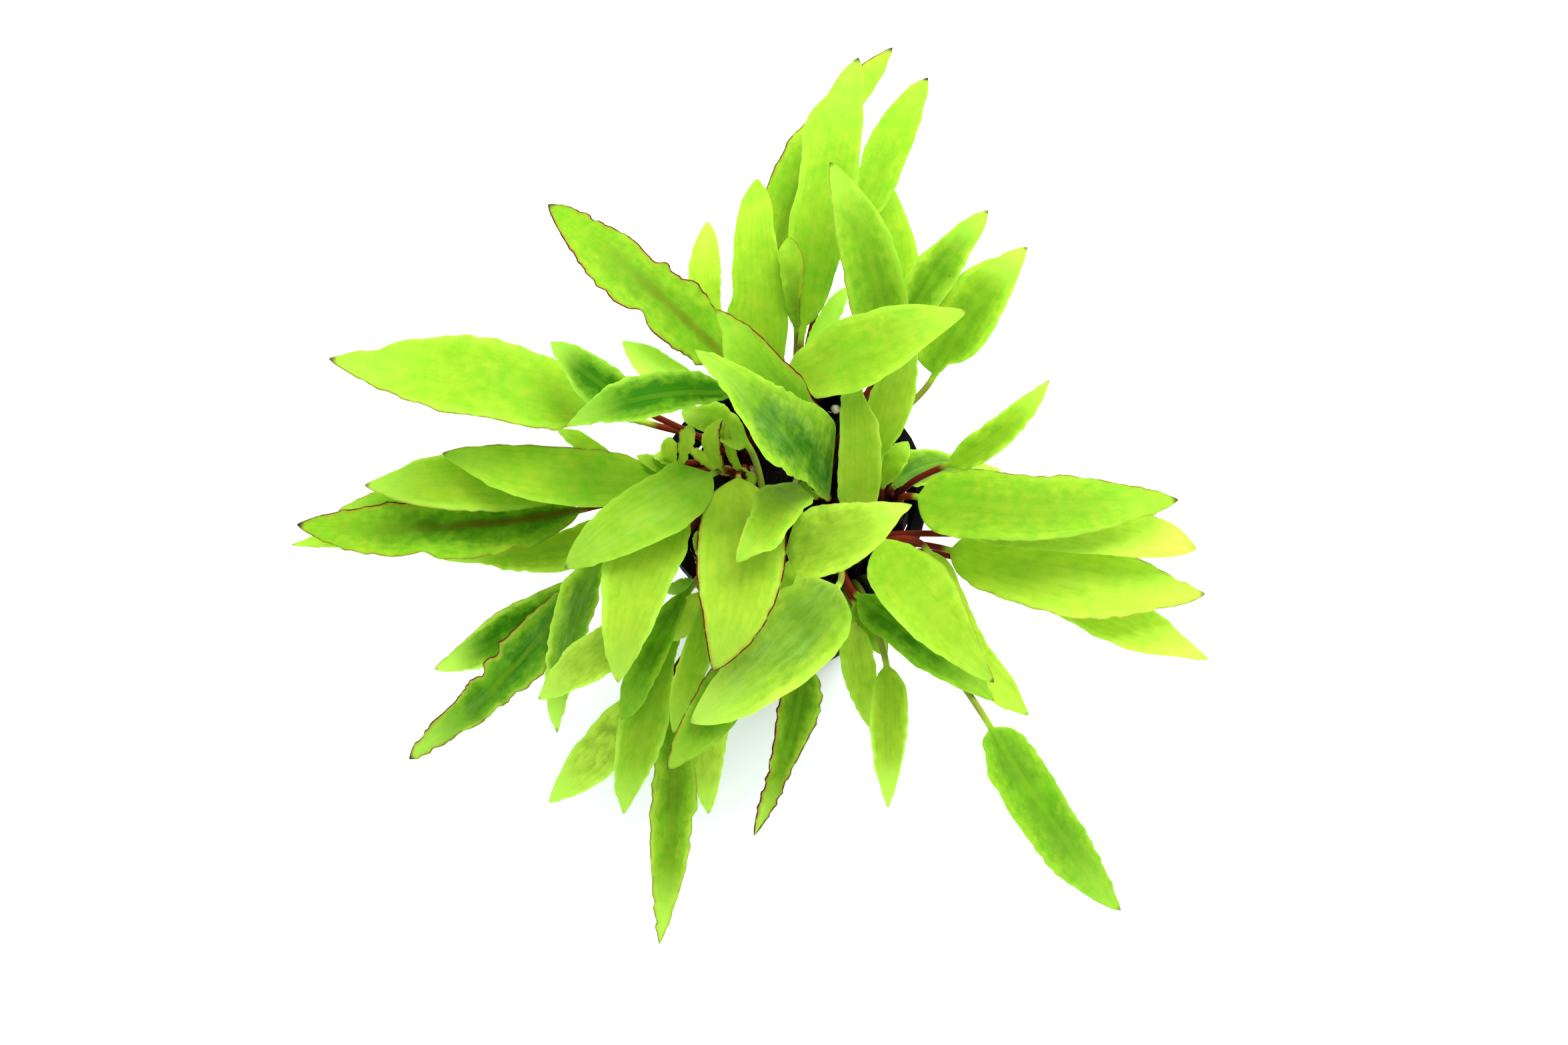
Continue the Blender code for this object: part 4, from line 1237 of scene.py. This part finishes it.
# Colours of the other pieces, those of the pot, the wool and the floor as linear light
PLASTIC_BLACK = (0.001, 0.001, 0.001)
PLASTIC_DUSTY = (0.004, 0.004, 0.0035)
# The wool's and its fibres' brown, darkened to near black: painted shade of the pot's inside
WOOL_DARK_SHADED = (0.0012, 0.0007, 0.0005)
WOOL_BROWN_SHADED = (0.0045, 0.0026, 0.0018)
WOOL_THREAD_SHADED = (0.010, 0.007, 0.0045)
FIBRE_DARK_SHADED = (0.004, 0.003, 0.0018)
FIBRE_PALE_SHADED = (0.014, 0.010, 0.006)
ROOT_DARK = srgb(112, 84, 52)
ROOT_PALE = srgb(206, 190, 156)
GRAIN_DARK = srgb(150, 146, 110)
GRAIN_PALE = srgb(226, 222, 196)
STEM_DARK = srgb(58, 20, 12)
STEM_PALE = srgb(96, 70, 26)
FLOOR_WHITE = (0.93, 0.95, 0.98)
FLOOR_GLOW = (0.80, 0.93, 1.0)


def plastic_material():
    n = Nodes("black_plastic")
    place = n.place()
    scuffs = n.noise(place, scale=900, detail=4, roughness=0.6)
    dust = n.noise(place, scale=180, detail=3, roughness=0.6)
    dust = n.between(dust, low=0.45, high=0.8, to_high=0.5)
    colour = n.mix(dust, PLASTIC_BLACK, PLASTIC_DUSTY)
    roughness = n.between(scuffs, low=0.3, high=0.7, to_low=0.5, to_high=0.7)
    relief = n.bump(scuffs, strength=0.25, distance=0.1 * MM)
    return n.finish(n.skin(colour, roughness, specular=0.04, Normal=relief))


def wool_material():
    n = Nodes("growing_wool")
    place = n.place()
    clumps = n.between(n.noise(place, scale=160, detail=4, roughness=0.65), low=0.3, high=0.7)
    fibres = n.noise(place, scale=1500, detail=4, roughness=0.7)
    # Painted shade: the wool is near black, much darker than its own brown
    colour = n.mix(clumps, WOOL_DARK_SHADED, WOOL_BROWN_SHADED)
    colour = n.mix(n.between(fibres, low=0.55, high=0.8, to_high=0.4), colour, WOOL_THREAD_SHADED)
    relief = n.bump(fibres, strength=0.8, distance=0.6 * MM)
    return n.finish(n.skin(colour, roughness=0.95, specular=0.05, Normal=relief))


def floor_material():
    n = Nodes("floor")
    glow = {"Emission Color": FLOOR_GLOW, "Emission Strength": 0.08}
    return n.finish(n.skin(FLOOR_WHITE, roughness=0.9, specular=0.1, **glow))


def lathe(name, radii, heights, around, shift):
    """A closed turned body whose points are moved by shift(point)."""
    turns = TURN * np.arange(around) / around
    vertices = [shift(round_axis(out, turn, up)) for out, up in zip(radii, heights) for turn in turns]
    faces = []
    for i in range(len(radii) - 1):
        for j in range(around):
            after = (j + 1) % around
            faces.append((i * around + j, i * around + after, (i + 1) * around + after, (i + 1) * around + j))
    for i, order in ((0, -1), (len(radii) - 1, 1)):
        middle = len(vertices)
        ring = [i * around + j for j in range(around)][::order]
        vertices.append(sum((Vector(vertices[k]) for k in ring), Vector()) / around)
        faces += [(middle, ring[j], ring[(j + 1) % around]) for j in range(around)]
    return new_mesh(name, [tuple(v) for v in vertices], faces)


def thread_mesh(name, routes, radius, sides):
    """Thin closed tubes along these routes, tapered at both ends."""
    bm = bmesh.new()
    for route in routes:
        rings = []
        for i, point in enumerate(route):
            ahead = (route[min(i + 1, len(route) - 1)] - route[max(i - 1, 0)]).normalized()
            across = ahead.orthogonal().normalized()
            other = ahead.cross(across)
            full = math.sin(math.pi * (i + THREAD_ENDS) / (len(route) - 1 + 2 * THREAD_ENDS))
            thin = radius * (THREAD_TIP + (1 - THREAD_TIP) * full)
            ring = []
            for j in range(sides):
                turn = TURN * j / sides
                ring.append(bm.verts.new(point + (across * math.cos(turn) + other * math.sin(turn)) * thin))
            if rings:
                turned = min(range(sides), key=lambda k: (ring[k].co - rings[-1][0].co).length)
                ring = ring[turned:] + ring[:turned]
            rings.append(ring)
        for low, high in zip(rings, rings[1:]):
            for j in range(sides):
                after = (j + 1) % sides
                bm.faces.new((low[j], low[after], high[after], high[j]))
        bm.faces.new(rings[0][::-1])
        bm.faces.new(rings[-1])
    mesh = mesh_from(name, bm)
    mesh.shade_smooth()
    return mesh


WOOL_LOW, WOOL_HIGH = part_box("growing_wool")
WOOL_FOOT_RADIUS = FOOT_DIAMETER / 2 - POT_WALL - WOOL_GAP
WOOL_TOP_RADIUS = (WOOL_HIGH[0] - WOOL_LOW[0]) / 2


def wool_radius(height):
    """The plug's radius at a height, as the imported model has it."""
    share = (height - WOOL_LOW[2]) / (WOOL_HIGH[2] - WOOL_LOW[2])
    return WOOL_FOOT_RADIUS + (WOOL_TOP_RADIUS - WOOL_FOOT_RADIUS) * share


def make_plug():
    levels = np.linspace(WOOL_LOW[2], WOOL_HIGH[2], PLUG_LEVELS)
    bare = [wool_radius(height) for height in levels]
    below, above = (np.linspace(first, last, count) for count, first, last in (UNDERSIDE_RINGS, TOP_RINGS))
    heights = [levels[0]] * len(below) + list(levels) + [levels[-1]] * len(above)
    radii = list(below * bare[0]) + bare + list(above * bare[-1])

    def felted(point):
        lump = lumpy(point, WOOL_LUMPS)
        out = Vector((point.x, point.y, 0))
        inward = (WOOL_SIDE_DIP[0] - WOOL_SIDE_DIP[1] * lump) * MM
        moved = point - out.normalized() * min(inward, out.length / 2)
        if point.z > WOOL_HIGH[2] - WOOL_TOP_LAYER:
            moved.z -= (WOOL_TOP_DIP[0] - WOOL_TOP_DIP[1] * lump) * MM
        return moved

    plug = lathe("wool_plug", radii, heights, PLUG_AROUND, felted)
    add_piece(plug, wool_material(), "growing_wool", "growing_wool")


def make_fibres(rng):
    low, high = WOOL_LOW[2], WOOL_HIGH[2]
    fibres = []
    for _ in range(FIBRES):
        on_top = rng.rand() < FIBRES_ON_TOP
        turn = rng.uniform(0, TURN)
        if on_top:
            out = wool_radius(high) * math.sqrt(rng.rand()) * TOP_FIBRE_REACH
            point = round_axis(out, turn, high - FIBRE_DEPTH)
            heading = Vector((rng.normal(), rng.normal(), FIBRE_RISE_ON_TOP)).normalized()
        else:
            height = rng.uniform(low + BARE_FOOT, high - BARE_RIM)
            point = round_axis(wool_radius(height) - FIBRE_DEPTH, turn, height)
            rise = rng.normal() * FIBRE_RISE_ON_SIDE
            heading = Vector((-math.sin(turn), math.cos(turn), rise)).normalized()
        route = [point]
        for _ in range(FIBRE_STEPS):
            heading = (heading + Vector(rng.normal(size=3)) * FIBRE_BEND).normalized()
            after = route[-1] + heading * FIBRE_STEP
            limit = wool_radius(min(max(after.z, low), high)) - FIBRE_COVER
            away = math.hypot(after.x, after.y)
            if away > limit:
                after.x *= limit / away
                after.y *= limit / away
            if on_top:
                after.z = min(max(after.z, high - TOP_FIBRE_SINK), high + TOP_FIBRE_LIFT)
            route.append(after)
        fibres.append(route)
    # Painted shade: the fibres are near black, much darker than the wool's own brown
    finish = speckled("wool_fibre", FIBRE_DARK_SHADED, FIBRE_PALE_SHADED, grain=(300, 2), roughness=0.9, specular=0.1)
    add_piece(thread_mesh("wool_fibres", fibres, FIBRE_RADIUS, FIBRE_SIDES), finish, "growing_wool")


def make_roots(rng):
    roots = []
    for i in range(ROOTS):
        turn = TURN * (i + rng.uniform(-ROOT_JITTER, ROOT_JITTER)) / ROOTS
        length = rng.uniform(*ROOT_REACH) * (WOOL_HIGH[2] - WOOL_LOW[2] - BARE_RIM - BARE_FOOT)
        route = []
        for step in range(ROOT_POINTS):
            height = WOOL_HIGH[2] - BARE_RIM - step / (ROOT_POINTS - 1) * length
            turn += rng.normal() * ROOT_WANDER
            route.append(round_axis(wool_radius(height) - ROOT_DEPTH, turn, height))
        roots.append(route)
    finish = speckled("root", ROOT_DARK, ROOT_PALE, grain=(420, 3), roughness=0.6)
    add_piece(thread_mesh("roots", roots, ROOT_RADIUS, ROOT_SIDES), finish, "growing_wool")


def make_grain():
    """A pale grain that lies on the wool, in the gap behind the middle leaves."""
    bm = bmesh.new()
    bmesh.ops.create_icosphere(bm, subdivisions=4, radius=GRAIN_RADIUS)
    for vertex in bm.verts:
        vertex.co *= 1 + lumpy(vertex.co, GRAIN_LUMPS)
        vertex.co.z *= GRAIN_FLATNESS
    mesh = mesh_from("grain", bm)
    rest = spot(At(*GRAIN_PX, WOOL_TOP / MM))
    mesh.transform(Matrix.Translation(rest + UP * GRAIN_RADIUS * GRAIN_FLATNESS * GRAIN_REST))
    mesh.shade_smooth()
    relief = (0.4, 0.2 * MM)
    finish = speckled("grain", GRAIN_DARK, GRAIN_PALE, grain=(900, 3), roughness=0.7, relief=relief)
    add_piece(mesh, finish, "growing_wool")


def make_crowns():
    relief = (0.5, 0.4 * MM)
    finish = speckled("stem", STEM_DARK, STEM_PALE, (420, 4, 0.6), 0.6, relief=relief, ends=(0.3, 0.7))
    shares = np.linspace(0, 1, CROWN_LEVELS)
    factor, top, power = CROWN_DOME
    outline = CROWN_NECK + CROWN_SCAR_DEPTH * np.cos(shares * CROWN_SCAR_TURNS)
    outline = outline * np.minimum(1, factor * (top - shares) ** power)
    for crown in CROWNS:
        low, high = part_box("crown_" + crown.name)
        centre = (Vector(low) + Vector(high)) / 2
        radii = (high[0] - low[0]) / 2 * outline
        heights = low[2] + (high[2] - low[2]) * shares

        def scarred(point):
            out = Vector((point.x, point.y, 0)).normalized()
            rough = lumpy(point + centre, CROWN_LUMPS) * MM
            return point + out * rough + Vector((centre.x, centre.y, 0))

        mesh = lathe("stub_" + crown.name, radii, heights, CROWN_AROUND, scarred)
        add_piece(mesh, finish, "stem", "crown_" + crown.name)


def make_leaves():
    finish = leaf_material()
    seed = FIRST_LEAF_SEED
    for crown in CROWNS:
        leaves = [leaf for leaf in LEAVES if leaf.crown == crown.name]
        feet = stalk_feet(crown, leaves)
        for number, leaf in enumerate(leaves, 1):
            key = f"{crown.name}_{number}"
            mesh = leaf_mesh("blade_" + key, key, leaf, feet[leaf], seed)
            add_piece(mesh, finish, "leaf_green", "leaf_" + key)
            seed += 1
    centres = {crown.name: crown_centre(crown) for crown in CROWNS}
    for number, leaf in enumerate(SMALL_LEAVES, 1):
        key = f"small_{number}"
        centre = centres[leaf.crown]
        way = spot(leaf.base) - centre
        way.z = 0
        foot = centre + way.normalized() * CROWN_DIAMETER / 2
        mesh = leaf_mesh(key, key, leaf, foot, seed, blade_rows=40, stalk_rows=14, across=19)
        add_piece(mesh, finish, "leaf_green")
        seed += 1


def make_floor():
    bm = bmesh.new()
    bmesh.ops.create_grid(bm, x_segments=1, y_segments=1, size=FLOOR_HALF)
    add_object("floor", mesh_from("floor", bm), floor_material())


def make_light():
    world = bpy.data.worlds.new("studio")
    bpy.context.scene.world = world
    world.use_nodes = True
    sky = world.node_tree.nodes["Background"]
    sky.inputs["Color"].default_value = SKY_COLOUR
    sky.inputs["Strength"].default_value = SKY_STRENGTH
    key = bpy.data.lights.new("key", "AREA")
    key.shape = "DISK"
    key.size = LAMP_SIZE
    key.energy = LAMP_ENERGY
    key.color = LAMP_COLOUR
    lamp = bpy.data.objects.new("key", key)
    bpy.context.scene.collection.objects.link(lamp)
    lamp.location = LAMP_PLACE
    lamp.rotation_euler = (LAMP_AIM - lamp.location).to_track_quat("-Z", "Y").to_euler()


def make_camera():
    camera = bpy.data.objects.new("camera", bpy.data.cameras.new("camera"))
    bpy.context.scene.collection.objects.link(camera)
    camera.data.sensor_width = SENSOR_WIDTH
    camera.data.lens = FOCAL_PX / PHOTO_SIZE[0] * SENSOR_WIDTH
    camera.data.clip_start = NEAREST_SEEN
    camera.location = VIEWPOINT
    camera.rotation_euler = (math.pi / 2 - VIEW_ELEVATION, 0, 0)
    bpy.context.scene.camera = camera


make_leaves()
make_plug()
strands = np.random.RandomState(STRANDS_SEED)
make_fibres(strands)
make_roots(strands)
make_grain()
make_crowns()
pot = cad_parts["net_pot"].data
pot.materials.clear()
pot.materials.append(plastic_material())
make_floor()
make_light()
make_camera()
bpy.context.scene.view_settings.view_transform = "Standard"
